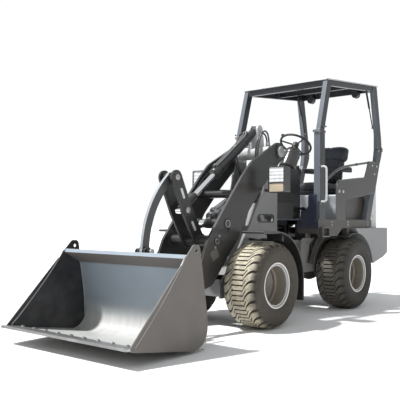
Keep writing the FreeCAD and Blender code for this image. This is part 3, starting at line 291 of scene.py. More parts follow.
def bucketPaint(name, side):
    # the bowl is pale along its floor, as scoured wear and as painted sunlight; the inner cheeks carry painted shade,
    # a near-black tone, and the outside stays dark
    s = Shader(name)
    y, z = s.axis(1), s.axis(2)
    inside = 1.0 - y.size().above(side - 0.0108, 0.0004)
    # each cheek's inner face looks towards the middle
    cheek = (s.facing(1) * y * -1.0).above(0.3, 0.2)
    bowl = inside * (1.0 - cheek) * (s.facing(0) + s.facing(2)).above(-0.1, 0.2)
    streak = s.noise(11.0, 5.0, 0.6, s.stretched((0.5, 2.6, 0.7)))
    cloud = s.noise(2.2, 4.0)
    outer = s.mix(cloud, (0.105, 0.096, 0.088), (0.135, 0.125, 0.116))
    # painted shade: the cheeks' inner faces get a near-black tone for the shadow they stand in
    cheekShadeTone = s.mix(s.noise(5.0, 4.0).above(0.4, 0.3), (0.02, 0.021, 0.024), (0.036, 0.038, 0.043))
    back = s.mix(cloud, (0.2, 0.238, 0.275), (0.29, 0.335, 0.38))
    # the floor's pale tone is scoured wear and painted sunlight
    floor = s.mix(streak.above(0.25, 0.5), (0.4, 0.405, 0.395), (0.52, 0.52, 0.505))
    low = 1.0 - z.above(0.13, 0.16)
    colour = s.mix(cheek, outer, cheekShadeTone)
    colour = s.mix(bowl, colour, s.mix(low, back, floor))
    worn = s.edges(0.004) * cloud.above(0.3, 0.3) * 0.5
    colour = s.mix(worn, colour, (0.42, 0.42, 0.42))
    colour = s.mix(dustOn(s, 0.3, 0.0, 0.8) * (1.0 - bowl), colour, dustTone)
    return s.finish(Base_Color=colour, Roughness=0.5 + (streak - 0.5) * 0.2 - bowl * 0.08, Metallic=bowl * 0.1,
                    Specular_IOR_Level=0.35, Normal=s.bump(streak, 0.1, 0.0015, s.rounded(0.004)))


def floorMat(name):
    s = Shader(name)
    studs = s.node("ShaderNodeTexVoronoi", None, {"Vector": s.place, "Scale": 90.0})
    cloud = s.noise(6.0, 4.0)
    colour = s.mix(cloud, (0.02, 0.02, 0.021), (0.06, 0.055, 0.05))
    return s.finish(Base_Color=colour, Roughness=0.75 + cloud * 0.1, Normal=s.bump(studs.above(0.2, 0.2), 0.6, 0.002))


bucketSide = boxOf("bucket")[1][1]
tubeMiddle = pivot("boom_lift")[2]
floorTop = boxOf("rops_lower")[0][2]
seatBoxSide = boxOf("seat_box")[1][1]
columnFoot = boxOf("steering_wheel")[0][2] - 0.2
flangeSide = 0.6

silver = (0.52, 0.53, 0.53)
midGrey = (0.2, 0.2, 0.2)
darkGrey = (0.027, 0.0265, 0.0262)
navy = (0.018, 0.022, 0.042)
flangeGrey = (0.3, 0.295, 0.285)
# painted highlight: a lighter bluish tone for the roll bar posts' front faces
postFrontHighlight = (0.12, 0.135, 0.155)


def floorFront(s):
    # the raised floor's edge, and what of the platform looks ahead above the sills
    raised = s.axis(2).above(floorTop + 0.002, 0.002)
    ahead = s.facing(0).above(0.8, 0.1) * s.axis(2).above(0.9, 0.002)
    return (raised + ahead).math("MINIMUM", 1.0)


finishes = {
    "light_paint": paint("light_paint", silver, rough=0.38, dust=0.3, chips=0.3),
    "dark_paint": paint("dark_paint", darkGrey, rough=0.34, coat=0.35, dust=0.2, chips=0.4, edge=0.8),
    "bucket_paint": bucketPaint("bucket_paint", bucketSide),
    "counterweight_paint": paint("counterweight_paint", (0.23, 0.232, 0.235), rough=0.5, peel=0.8, chips=0.5),
    "axle_paint": paint("axle_paint", (0.018, 0.017, 0.016), rough=0.6, coat=0.0, dust=0.6),
    "cylinder_paint": paint("cylinder_paint", (0.085, 0.085, 0.083), rough=0.3, coat=0.5, dust=0.2, chips=0.2),
    "rim_silver": paint("rim_silver", (0.24, 0.215, 0.175), rough=0.4, coat=0.3, dust=0.8, chips=0.4,
                        second=flangeGrey, where=lambda s: s.axis(1).size().above(flangeSide, 0.004)),
    "rod_chrome": chrome("rod_chrome"),
    "worn_steel": brushedSteel("worn_steel"),
    "black_plastic": plastic("black_plastic"),
    "hose_rubber": rubber("hose_rubber", (0.045, 0.044, 0.042), rough=0.3, dust=0.05),
    "tyre": treadRubber("tyre", (0.56, 0.51, 0.385), (0.02, 0.0155, 0.0115), 1.0),
    "clear_lens": clearLens("clear_lens"),
    "amber_lens": amberLens("amber_lens"),
    "seat_vinyl": vinyl("seat_vinyl"),
    "engine_iron": castIron("engine_iron"),
}
# further finishes for pieces whose finish differs from the rest of their slot; some of them carry painted highlight
# and painted shade
special = {
    # painted shade: the rear tyres take a darker copy of the tread finish, with a duller crown
    "rear_tyre": treadRubber("tyre_rear", (0.17, 0.155, 0.125), (0.02, 0.018, 0.0155), 0.75),
    # painted light and shade: the link's narrow faces keep a light tone and its side faces get a dark one, by the way
    # they face
    "tilt_link": paint("link_lit_and_shaded", (0.3, 0.32, 0.335), rough=0.4, coat=0.3, dust=0.1, chips=0.3,
                       second=(0.06, 0.061, 0.062), where=lambda s: s.facing(1).size().above(0.7, 0.1)),
    "front_frame": paint("frame_grey", midGrey, rough=0.45, dust=0.35, chips=0.5, second=silver,
                         where=lambda s: s.axis(2).above(tubeMiddle - 0.09, 0.004)),
    "platform": paint("sill_grey", (0.05, 0.0465, 0.042), rough=0.5, dust=0.55, chips=0.4, second=navy,
                      where=floorFront),
    "side_guards": paint("guard_grey", (0.045, 0.0435, 0.042), rough=0.36, coat=0.3, dust=0.12, edge=0.9),
    # painted highlight: the posts' faces that look ahead take a lighter bluish tone
    "rops_lower": paint("post_grey", (0.02, 0.022, 0.026), rough=0.34, coat=0.4, dust=0.0, edge=0.9,
                        second=postFrontHighlight, where=lambda s: s.facing(0).above(0.75, 0.15)),
    "rops_upper": paint("roof_grey", (0.018, 0.02, 0.024), rough=0.34, coat=0.4, dust=0.0, edge=0.9,
                        second=postFrontHighlight,
                        where=lambda s: s.facing(0).above(0.75, 0.15) * s.axis(1).size().above(0.48, 0.02)),
    # painted shade: the seat box's outer side faces get a near-black tone
    "seat_box": paint("box_grey_shaded_sides", (0.5, 0.525, 0.55), rough=0.42, dust=0.3, second=(0.05, 0.047, 0.043),
                      where=lambda s: s.axis(1).size().above(seatBoxSide - 0.004, 0.002)),
    "rear_fenders": plastic("fender_grey", (0.03, 0.029, 0.0275), rough=0.5, dust=0.4),
    "front_fenders": plastic("fender_black", (0.009, 0.009, 0.009), rough=0.4, dust=0.08, edge=0.8),
    "rim_lips": paint("rim_lips", (0.72, 0.72, 0.7), rough=0.3, coat=0.4, dust=0.05, chips=0.2),
    "lift_cylinder_barrel": paint("lift_barrel_silver", (0.2, 0.21, 0.225), rough=0.28, coat=0.6, dust=0.1),
    "column_cover": paint("column_cover", (0.045, 0.045, 0.044), rough=0.2, coat=0.9, dust=0.05, chips=0.1),
    "headlamp_housings": plastic("lamp_black", (0.014, 0.014, 0.015), rough=0.35, dust=0.1, edge=0.5, coat=0.3),
    "step_boxes": plastic("step_black", (0.03, 0.029, 0.027), rough=0.5, dust=0.6, edge=0.8),
    "console": paint("console_black", (0.016, 0.016, 0.017), rough=0.4, coat=0.2, dust=0.1, second=(0.11, 0.112, 0.11),
                     where=lambda s: s.axis(2).above(columnFoot, 0.01)),
    "tilt_cylinder_barrel": paint("barrel_grey", (0.024, 0.025, 0.027), rough=0.3, coat=0.5, dust=0.1),
    "rear_frame": paint("chassis_grey", (0.2, 0.196, 0.19), rough=0.45, dust=0.4, chips=0.5),
    "floor_rubber": floorMat("floor_rubber"),
}
print("finishes:", len(finishes) + len(special))

for name, node in nodes.items():
    for held in node.material_slots:
        held.material = special.get(name) or finishes[held.material.name.split(".")[0]]


# a form is (points, faces), in metres; piece() joins a list of forms into one object
toLeft, upward = (0, 1, 0), (0, 0, 1)
planes = {"xz": (0, 2, 1), "xy": (0, 1, 2), "yz": (1, 2, 0)}    # an outline's two axes, then the one across them


def lattice(points, closedU=False, closedV=False):
    # faces between neighbours of a (rows, columns, 3) grid, wrapping round where closed
    rows, columns = points.shape[:2]
    index = np.arange(rows * columns).reshape(rows, columns)
    if closedU:
        index = np.concatenate([index, index[:1]])
    if closedV:
        index = np.concatenate([index, index[:, :1]], axis=1)
    faces = np.stack([index[:-1, :-1], index[1:, :-1], index[1:, 1:], index[:-1, 1:]], -1).reshape(-1, 4)
    return points.reshape(-1, 3), faces.tolist()


def across(axis):
    # two unit directions square to the axis, and the axis itself
    axis = np.array(axis, float) / np.linalg.norm(axis)
    helper = (0.0, 0.0, 1.0) if abs(axis[2]) < 0.9 else (1.0, 0.0, 0.0)
    first = np.cross(helper, axis)
    first /= np.linalg.norm(first)
    return first, np.cross(axis, first), axis


def turned(profile, centre, axis, steps=24):
    # a profile of (radius, distance along the axis) spun round the axis
    first, second, along = across(axis)
    angle = np.arange(steps)[:, None] / steps * 2 * math.pi
    ring = np.cos(angle) * first + np.sin(angle) * second
    r, d = np.array(profile, float).T
    points = np.array(centre, float) + r[None, :, None] * ring[:, None, :] + d[None, :, None] * along
    return lattice(points, closedU=True)


def button(radius, height, corner, start=0.0):
    # outline of a disc with a rounded rim: a quarter circle joins its face to its side
    turn = np.linspace(0, math.pi / 2, 5)
    edge = np.stack([radius - corner + corner * np.sin(turn), start + height - corner + corner * np.cos(turn)], -1)
    return np.concatenate([[(0, start + height)], edge, [(radius, start), (0, start)]])


def bolt(centre, axis, size):
    # hexagon head on a round washer, standing on a face that looks along the axis
    head = turned([(0, 0.7 * size), (0.74 * size, 0.7 * size), (0.9 * size, 0.6 * size), (0.9 * size, 0.12 * size),
                   (0, 0.12 * size)], centre, axis, 6)
    washer = turned([(0, 0.16 * size), (1.3 * size, 0.16 * size), (1.36 * size, 0.1 * size),
                     (1.36 * size, -0.1 * size), (0, -0.1 * size)], centre, axis, 12)
    return [head, washer]


def bolts(spots, axis, size):
    return [form for spot in spots for form in bolt(spot, axis, size)]


def smoothPath(points, count):
    # a line through the points: cubic between neighbours, its slopes taken from the points beside them
    points = np.array(points, float)
    padded = np.concatenate([[2 * points[0] - points[1]], points, [2 * points[-1] - points[-2]]])
    t = np.linspace(0, len(points) - 1 - 1e-9, count)
    k = t.astype(int)
    u = (t - k)[:, None]
    a, b, c, d = (padded[k + n] for n in range(4))
    return 0.5 * (2 * b + (c - a) * u + (2 * a - 5 * b + 4 * c - d) * u ** 2 + (3 * b - a - 3 * c + d) * u ** 3)


def carried(path, normal, radius, steps=10, ripple=0.0, ripples=0):
    # a round section carried along a path; normal is roughly square to the path; ends are closed to a point
    path = np.array(path, float)
    tangent = np.gradient(path, axis=0)
    tangent /= np.linalg.norm(tangent, axis=1)[:, None]
    beside = np.cross(tangent, np.array(normal, float))
    beside /= np.linalg.norm(beside, axis=1)[:, None]
    above = np.cross(beside, tangent)
    angle = np.arange(steps) / steps * 2 * math.pi
    swell = 1 + ripple * np.sin(np.linspace(0, ripples * 2 * math.pi, len(path)))
    ring = np.cos(angle)[None, :, None] * beside[:, None, :] + np.sin(angle)[None, :, None] * above[:, None, :]
    points = path[:, None, :] + radius * swell[:, None, None] * ring
    ends = [np.repeat(path[n][None, None, :], steps, axis=1) for n in (0, -1)]
    return lattice(np.concatenate([ends[0], points, ends[1]]), closedV=True)


def slab(outline, low, high, plane="xz"):
    # a flat outline given thickness from low to high along the axis left out of its plane
    outline = np.array(outline, float)
    first, second, thick = planes[plane]
    count = len(outline)
    points = np.zeros((2 * count, 3))
    points[:, first] = np.tile(outline[:, 0], 2)
    points[:, second] = np.tile(outline[:, 1], 2)
    points[:, thick] = np.repeat([low, high], count)
    n = np.arange(count)
    sides = np.stack([n, (n + 1) % count, (n + 1) % count + count, n + count], -1).tolist()
    return points, sides + [n[::-1].tolist(), (n + count).tolist()]


def rounded(x0, x1, z0, z1, radius, steps=5):
    # corners of a rectangle, each a quarter circle
    turn = np.linspace(0, math.pi / 2, steps)
    corners = [(x1 - radius, z1 - radius, 0), (x0 + radius, z1 - radius, 1), (x0 + radius, z0 + radius, 2),
               (x1 - radius, z0 + radius, 3)]
    return np.concatenate([np.stack([cx + radius * np.cos(turn + q * math.pi / 2),
                                     cz + radius * np.sin(turn + q * math.pi / 2)], -1) for cx, cz, q in corners])


def rim(x0, x1, z0, z1, radius, width, low, high, plane):
    # a frame of even width round a rounded rectangle: the outline's four lines in turn make its section
    outer = rounded(x0, x1, z0, z1, radius)
    inner = rounded(x0 + width, x1 - width, z0 + width, z1 - width, max(radius - width, 0.002))
    first, second, thick = planes[plane]
    grid = np.zeros((4, len(outer), 3))
    for row, (line, level) in enumerate(((outer, low), (outer, high), (inner, high), (inner, low))):
        grid[row][:, first], grid[row][:, second], grid[row][:, thick] = line[:, 0], line[:, 1], level
    return lattice(grid, closedU=True, closedV=True)


def leaned(form, degrees, spot):
    # turned in side view about the origin, then moved to the spot
    points, faces = form
    c, s = math.cos(math.radians(degrees)), math.sin(math.radians(degrees))
    x, y, z = points.T
    return np.stack([x * c - z * s, y, x * s + z * c], -1) + spot, faces


def bothSides(forms):
    return [*forms, *[(points * (1, -1, 1), faces) for points, faces in forms]]


def placed(name, data):
    made = bpy.data.objects.new(name, data)
    bpy.context.scene.collection.objects.link(made)
    return made


def meshOf(name, points, faces, crown=None):
    # corners that meet are joined, and every face is turned outward
    mesh = bpy.data.meshes.new(name)
    mesh.from_pydata(points.tolist(), [], faces)
    if crown is not None:
        mesh.attributes.new("crown", "FLOAT", "POINT").data.foreach_set("value", crown.reshape(-1).astype("f4"))
    shape = bmesh.new()
    shape.from_mesh(mesh)
    bmesh.ops.remove_doubles(shape, verts=shape.verts, dist=0.00002)
    bmesh.ops.recalc_face_normals(shape, faces=shape.faces)
    shape.to_mesh(mesh)
    shape.free()
    return mesh


def piece(name, forms, finish, body, bevel=0.0, crease=35, swap=(), crown=None):
    start, points, faces = 0, [], []
    for spots, sides in forms:
        points.append(spots)
        faces += [[n + start for n in side] for side in sides]
        start += len(spots)
    mesh = meshOf(name, np.concatenate(points), faces, crown)
    mesh.polygons.foreach_set("use_smooth", [True] * len(mesh.polygons))
    mesh.set_sharp_from_angle(angle=math.radians(crease))
    mesh.materials.append(special.get(finish) or finishes[finish])
    made = placed(name, mesh)
    if bevel:
        edge = made.modifiers.new("edges", "BEVEL")
        edge.width, edge.segments, edge.limit_method, edge.angle_limit = bevel, 2, "ANGLE", math.radians(40)
    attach(made, body)
    if swap:
        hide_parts(*swap)
    return made


frontAxle = pivot("front_left_wheel_roll")
rearAxle = pivot("rear_left_wheel_roll")


def front(x, y, z):
    # a place in millimetres, x measured ahead of the front axle
    return np.array([frontAxle[0] + x / 1000, y / 1000, z / 1000])


def rear(x, y, z):
    # the same, x measured ahead of the rear axle
    return np.array([rearAxle[0] + x / 1000, y / 1000, z / 1000])


def sideLine(points, y, place):
    # a line drawn in side view, at one distance from the middle
    return [place(x, y, z) for x, z in points]


# tyre section, from the middle of the tread to the bead: (distance from the middle, radius), in mm
tyreLine = [(0, 393.4), (50, 392.8), (95, 390.2), (126, 385.5), (149, 377), (165, 364), (176, 347), (183, 328),
            (187, 310), (188, 292), (186, 270), (180, 244), (171, 222), (165, 208)]
# the tread in mm: grooves run straight across its middle, sweep away to the shoulder and end at foot
tread = {"radius": 393.5, "grooves": 54, "depth": 11.5, "narrow": 4.8, "wide": 12.5, "straight": 60.0,
         "sweep": 88.0, "shoulder": 150.0, "hook": 84.0, "fade": 9.0, "foot": 350.0, "footFade": 14.0, "side": 184.0,
         "ribs": (312.0, 292.0, 236.0), "ribWidth": 3.0, "ribHeight": 1.8, "rimHalf": 165.0, "rimRadius": 200.0}
# rows across a groove: (distance in groove widths, share of its depth)
grooveWall = [(-1.35, 0.0), (-1.0, 0.5), (-0.68, 1.0), (0.0, 1.0), (0.68, 1.0), (1.0, 0.5), (1.35, 0.0)]
blockRows = np.linspace(0.2, 0.8, 4)


def tyreRows(y):
    # turn of every row at each place across the tread, in mm round it: (groove, row, place)
    size = np.abs(y)
    width = tread["narrow"] + (tread["wide"] - tread["narrow"]) * np.clip(size / tread["shoulder"], 0, 1) ** 2
    pitch = 2 * math.pi * tread["radius"] / tread["grooves"]
    steps = np.array(grooveWall)[:, 0]
    block = steps[-1] * width + (pitch - 2 * steps[-1] * width) * blockRows[:, None]
    offset = np.concatenate([steps[:, None] * width, block])
    along = np.clip((size - tread["straight"]) / (tread["shoulder"] - tread["straight"]), 0, 1)
    shift = -np.sign(y) * tread["sweep"] * np.sin(along * math.pi / 2) ** 0.8
    return np.arange(tread["grooves"])[:, None, None] * pitch + offset[None] + shift[None, None]


def grooveCuts(y, r):
    # share of the depth at each (groove, row, place); every second groove ends at a hook left of the middle
    even = (np.arange(tread["grooves"]) % 2 == 0)[:, None]
    reach = np.where(even, y[None] + tread["hook"], tread["hook"] - y[None])
    foot = np.clip((r - tread["foot"]) / tread["footFade"], 0, 1) * (np.abs(y) < tread["side"])
    drop = np.concatenate([np.array(grooveWall)[:, 1], np.zeros(len(blockRows))])
    return drop[None, :, None] * (np.clip(reach / tread["fade"], 0, 1) * foot[None])[:, None, :]


def tyreForm(centre, outward):
    # the section is swept round the axle; a groove is pushed in along the section's own normal
    half = smoothPath([(y, r, 0) for y, r in tyreLine], 34)[:, :2]
    section = np.concatenate([half[:0:-1] * (-1, 1), half])
    y, r = section.T
    slope = np.gradient(section, axis=0)
    slope /= np.linalg.norm(slope, axis=1)[:, None]
    outY, outR = -slope[:, 1], slope[:, 0]
    theta, cut = tyreRows(y) / tread["radius"], grooveCuts(y, r)
    ribs = sum(np.exp(-((r - place) / tread["ribWidth"]) ** 2) for place in tread["ribs"])
    ribs = ribs * (np.abs(y) > tread["shoulder"]) * tread["ribHeight"]
    push = -tread["depth"] * cut + ribs[None, None]
    theta, push, cut = (a.reshape(-1, len(y)) for a in (theta, push, cut))
    # three more columns close the tyre on its rim
    inner = np.linspace(1, -1, 5)[None, 1:-1] * tread["rimHalf"] * np.ones((len(theta), 1))
    flatY = np.concatenate([y[None] + outY[None] * push, inner], 1)
    radius = np.concatenate([r[None] + outR[None] * push, np.full_like(inner, tread["rimRadius"])], 1)
    turn = np.concatenate([theta, np.repeat(theta[:, -1:], 3, axis=1)], 1)
    points = np.stack([centre[0] + radius * np.sin(turn) / 1000, centre[1] + outward * flatY / 1000,
                       centre[2] + radius * np.cos(turn) / 1000], -1)
    # crown for the finish: dust on the blocks' tops, which also stands as painted sunlight; it thins towards the
    # shoulder and is almost gone on the sidewall, as less dust and as painted shade
    film = 1 - 0.45 * np.clip((np.abs(y) - 100) / 50, 0, 1)
    top = (1 - cut) ** 3 * (np.clip((r - 362) / 22, 0, 1) * film + 0.04 * (r < 372))[None]
    return points, np.concatenate([top, np.zeros_like(inner)], 1)


def makeTyre(node, body, outward):
    low, high = boxOf(node)
    points, crown = tyreForm((low + high) / 2, outward)
    # the rear tyres' darker tread finish is painted shade
    finish = "rear_tyre" if node.startswith("rear") else "tyre"
    piece(node + "_tread", [lattice(points, closedU=True, closedV=True)], finish, body, swap=[node],
          crown=crown, crease=50)


# distances of a wheel's faces from the machine's middle, in mm, and profiles in metres
wheel = {"face": 432.0, "nutCircle": 101.0, "nuts": 8, "hubEnd": 466.0, "hubBolts": 6,
         "hub": [(0, 0.022), (0.018, 0.0215), (0.026, 0.018), (0.036, 0.013), (0.041, 0.004), (0.058, 0.002),
                 (0.062, -0.001), (0, -0.001)],
         "outerLip": [(0.196, 0.0), (0.1985, 0.0035), (0.203, 0.0045), (0.2075, 0.003), (0.209, 0.0),
                      (0.2075, -0.003), (0.2, -0.004), (0.196, 0.0)],
         "innerLip": [(0.1785, 0.0), (0.180, 0.0025), (0.1835, 0.0025), (0.185, 0.0), (0.1835, -0.0025),
                      (0.18, -0.0025), (0.1785, 0.0)]}


def dressWheel(end, side, outward):
    body = f"{end}_{side}_wheel"
    middle = pivot(body + "_roll")
    axis = (0, outward, 0)

    def spot(radius, angle, y):
        return np.array([middle[0] + radius / 1000 * math.cos(angle), outward * y / 1000,
                         middle[2] + radius / 1000 * math.sin(angle)])

    pitch = 2 * math.pi / wheel["nuts"]
    nuts = bolts([spot(wheel["nutCircle"], (k + 0.5) * pitch, wheel["face"]) for k in range(wheel["nuts"])],
                 axis, 0.0135)
    pitch = 2 * math.pi / wheel["hubBolts"]
    nuts += bolts([spot(50, k * pitch, wheel["hubEnd"]) for k in range(wheel["hubBolts"])], axis, 0.006)
    piece(body + "_nuts", nuts, "worn_steel", body)
    piece(body + "_hub", [turned(wheel["hub"], spot(0, 0, wheel["hubEnd"]), axis, 40)], "rim_silver", body)
    lips = [turned(wheel["outerLip"], spot(0, 0, 636), axis, 96), turned(wheel["innerLip"], spot(0, 0, 624), axis, 96)]
    piece(body + "_lips", lips, "rim_lips", body)
    stem = smoothPath([spot(150, 2.2, 455), spot(146, 2.2, 475), spot(141, 2.2, 500)], 8)
    piece(body + "_valve", [carried(stem, (1, 0, 0), 0.004, 10)], "black_plastic", body)


for end in ("front", "rear"):
    for side, outward in (("left", 1), ("right", -1)):
        makeTyre(f"{end}_{side}_tyre", f"{end}_{side}_wheel", outward)
        dressWheel(end, side, outward)
print("wheels made")


# the arm's outer faces and pins in side view, in mm ahead of the front axle and above the floor
arm = {"boomFace": 278.0, "leverFace": 82.0, "liftPin": (283, 951), "leverPin": (433, 795),
       "leverMiddle": (603, 1069), "leverTop": (743, 1353), "plate": (457, 678)}


def dressBoom():
    face = arm["boomFace"]
    caps, rings, heads = [], [], []
    for (x, z), radius in ((arm["liftPin"], 46), (arm["leverPin"], 34)):
        centre, r, apart = front(x, face, z), radius / 1000, 0.56 * radius
        caps.append(turned(button(r, 0.008, 0.004, -0.001), centre, toLeft, 40))
        rings.append(turned([(0, 0.004), (0.55 * r, 0.004), (0.62 * r, 0.009), (0.72 * r, 0.009), (0.76 * r, 0.006),
                             (0, 0.006)], centre, toLeft, 36))
        heads += bolts([front(x + way * apart, face + 7, z + way * apart) for way in (1, -1)], toLeft, 0.005)
    heads += bolts([front(394, face, 842), front(452, face, 742)], toLeft, 0.009)
    # the blank plate leans forward with the lower boom
    plate = slab(rounded(-0.049, 0.049, -0.044, 0.044, 0.008), (face - 0.5) / 1000, (face + 1.6) / 1000)
    plate = leaned(plate, -28, front(arm["plate"][0], 0, arm["plate"][1]))
    piece("boom_bosses", bothSides(caps), "dark_paint", "boom")
    piece("boom_pin_faces", bothSides(rings), "worn_steel", "boom")
    piece("boom_bolts", bothSides(heads), "worn_steel", "boom")
    piece("boom_blank_plates", bothSides([plate]), "cylinder_paint", "boom", bevel=0.0008)


def pinHead(joint, y, radius):
    # round end of a pin with its grease nipple
    x, _, z = pivot(joint)
    centre = np.array([x, y / 1000, z])
    nipple = [(0, 0.010), (0.007, 0.010), (0.009, 0.008), (0.009, 0), (0, 0)]
    return centre, [turned(button(radius, 0.007, 0.003, -0.001), centre, toLeft, 40),
                    turned(nipple, centre, toLeft, 12)]


def dressPins():
    centre, pin = pinHead("boom_lift", 302, 0.05)
    for k in range(4):
        angle = k * math.pi / 2 + 0.6
        pin += bolt(centre + (0.034 * math.cos(angle), 0.005, 0.034 * math.sin(angle)), toLeft, 0.007)
    piece("tower_pin_caps", bothSides(pin), "worn_steel", "front")
    piece("hinge_pin_caps", bothSides(pinHead("bucket_tilt", 292, 0.027)[1]), "worn_steel", "bucket")


def dressLinkage():
    face = arm["leverFace"]
    caps, collars, pads = [], [], []
    for place, radius in (("leverTop", 0.034), ("leverMiddle", 0.034), ("leverPin", 0.04)):
        x, z = arm[place]
        centre = front(x, face, z)
        collars.append(turned([(0, 0.006), (radius + 0.012, 0.006), (radius + 0.016, 0.002),
                               (radius + 0.016, -0.002), (0, -0.002)], centre, toLeft, 36))
        caps.append(turned(button(radius * 0.8, 0.009, 0.003), centre + (0, 0.004, 0), toLeft, 36))
        caps += bolt(centre + (0, 0.012, 0), toLeft, 0.008)
    for x, z, lean in ((670, 1215, 64), (520, 930, 58)):
        pad = slab(rounded(-0.05, 0.05, -0.014, 0.014, 0.0135), face / 1000 - 0.0005, face / 1000 + 0.0035)
        pads.append(leaned(pad, lean, front(x, 0, z)))
    piece("lever_collars", bothSides(collars), "dark_paint", "lever")
    piece("lever_pins", bothSides(caps), "worn_steel", "lever")
    piece("lever_pads", bothSides(pads), "light_paint", "lever", bevel=0.001)
    x, _, z = pivot("link_swing")
    pin = [turned(button(0.026, 0.01, 0.003), (x, 0.083, z), toLeft, 30), *bolt((x, 0.092, z), toLeft, 0.008)]
    piece("link_pins", bothSides(pin), "worn_steel", "bucket")


def cylinderLine(joint, tip):
    start = pivot(joint)
    length = np.linalg.norm(tip - start)
    return start, (tip - start) / length, length


# places along a barrel from its rear eye, in metres: rear port, first clamp, and how far before the gland
barrel = {"port": 0.16, "clamp": 0.26, "lastClamp": 0.12, "frontPort": 0.045}


def dressCylinder(prefix, tip, radius, gland, finish):
    # ports, two steel pipes along the barrel, clamps, gland ring, and the rod's wiper and grease nipple
    start, along, _ = cylinderLine(prefix + "_barrel_swing", tip)
    above = np.cross(along, toLeft)
    above *= np.sign(above[2])
    r = radius

    def at(distance, height=0.0, y=0.0):
        return start + along * distance + above * height + (0, y, 0)

    port = [(0, 0.03), (0.012, 0.03), (0.015, 0.026), (0.015, 0.008), (0.021, 0.0), (0.021, -0.006), (0, -0.006)]
    forms = [turned(port, at(place, r - 0.002), above, 20) for place in (barrel["port"], gland - barrel["frontPort"])]
    forms.append(turned([(r + 0.0045, -0.05), (r + 0.009, -0.046), (r + 0.009, -0.006), (r + 0.005, 0.0),
                         (r - 0.012, 0.001), (r - 0.012, -0.05), (r + 0.0045, -0.05)], at(gland), along, 40))
    clamp = [(r - 0.002, -0.009), (r + 0.0035, -0.008), (r + 0.0035, 0.008), (r - 0.002, 0.009), (r - 0.002, -0.009)]
    last = gland - barrel["lastClamp"]
    forms += [turned(clamp, at(place), along, 40) for place in (barrel["clamp"], (barrel["clamp"] + last) / 2, last)]
    pipes = []
    for y in (-0.014, 0.014):
        line = [at(barrel["port"], r + 0.028), at(0.19, r + 0.032, y), at(0.23, r + 0.014, y), at(last, r + 0.013, y),
                at(gland - 0.075, r + 0.026, y * 0.6), at(gland - barrel["frontPort"], r + 0.028)]
        pipes.append(carried(smoothPath(line, 50), toLeft, 0.0055, 10))
    piece(prefix + "_fittings", forms, finish, prefix + "_barrel")
    piece(prefix + "_pipes", pipes, "worn_steel", prefix + "_barrel")
    wiper = turned([(0.0255, 0.0), (0.036, 0.0), (0.039, 0.004), (0.034, 0.010), (0.0275, 0.012), (0.0255, 0.0)],
                   at(gland), along, 32)
    piece(prefix + "_wiper", [wiper], "black_plastic", prefix + "_barrel")
    nipple = turned([(0, 0.010), (0.003, 0.009), (0.004, 0.005), (0.006, 0.004), (0.006, -0.002), (0, -0.002)],
                    tip + above * 0.04, above, 10)
    piece(prefix + "_grease", [nipple], "worn_steel", prefix + "_rod")


def dressCylinders():
    (leverX, leverZ), (liftX, liftZ) = arm["leverMiddle"], arm["liftPin"]
    tiltEye = front(leverX, 0, leverZ)
    dressCylinder("tilt", tiltEye, 0.046, 0.85, "dark_paint")
    dressCylinder("lift", front(liftX, 0, liftZ), 0.05, 0.768, "cylinder_paint")
    # the tilt rod's far end runs in a fat dark sleeve
    start, along, length = cylinderLine("tilt_barrel_swing", tiltEye)
    sleeve = turned([(0.0255, 0.0), (0.031, 0.0), (0.034, 0.006), (0.034, 0.16), (0.031, 0.19), (0.0255, 0.19),
                     (0.0255, 0.0)], start + along * (length - 0.235), along, 36)
    piece("tilt_rod_sleeve", [sleeve], "tilt_cylinder_barrel", "tilt_rod")


dressBoom()
dressPins()
dressLinkage()
dressCylinders()
print("arm dressed")


def dressBucket():
    edge = [front(1765, 0, 133.5) + (0, y, 0) for y in np.linspace(-0.6, 0.6, 9)]
    piece("bucket_edge_bolts", bolts(edge, (-0.17, 0, 1), 0.014), "worn_steel", "bucket")
    # weld beads where the cheeks meet the floor and the back
    beads = []
    floor = [(1780, 116), (1500, 74), (1250, 36), (1100, 14)]
    back = [(1076, 60), (1084, 200), (1092, 330), (1114, 470), (1142, 605), (1200, 648), (1280, 690)]
    for points in (floor, back):
        path = smoothPath(sideLine(points, 0, front), 120)
        for y in (0.011 - bucketSide, bucketSide - 0.011):
            beads.append(carried(path + (0, y, 0), toLeft, 0.0055, 8, 0.14, 60))
    piece("bucket_welds", beads, "worn_steel", "bucket")
    # a worn bead along the slanting edge of each cheek
    cheek = [(1318, 716), (1360, 650), (1470, 505), (1600, 352), (1720, 220), (1800, 140)]
    cheek = smoothPath(sideLine(cheek, 0, front), 60)
    edges = [carried(cheek + (0, y, 0), toLeft, 0.0075, 8) for y in (0.006 - bucketSide, bucketSide - 0.006)]
    piece("bucket_cheek_edges", edges, "worn_steel", "bucket")


# the lamp box in mm, and the share of its height that the indicator takes
lampBox = {"front": -205.0, "y": (392.0, 576.0), "z": (1250.0, 1502.0), "split": 0.37}


def pressedLens(middle, width, height, sharpness, bulge, columns, rows):
    # a lens that stands proud in the middle and is flat along its rim
    u, v = np.meshgrid(np.linspace(-1, 1, columns), np.linspace(-1, 1, rows), indexing="ij")
    proud = (1 - u ** sharpness) * (1 - v ** 4)
    return lattice(np.stack([middle[0] + bulge * proud, middle[1] + u * width, middle[2] + v * height], -1))


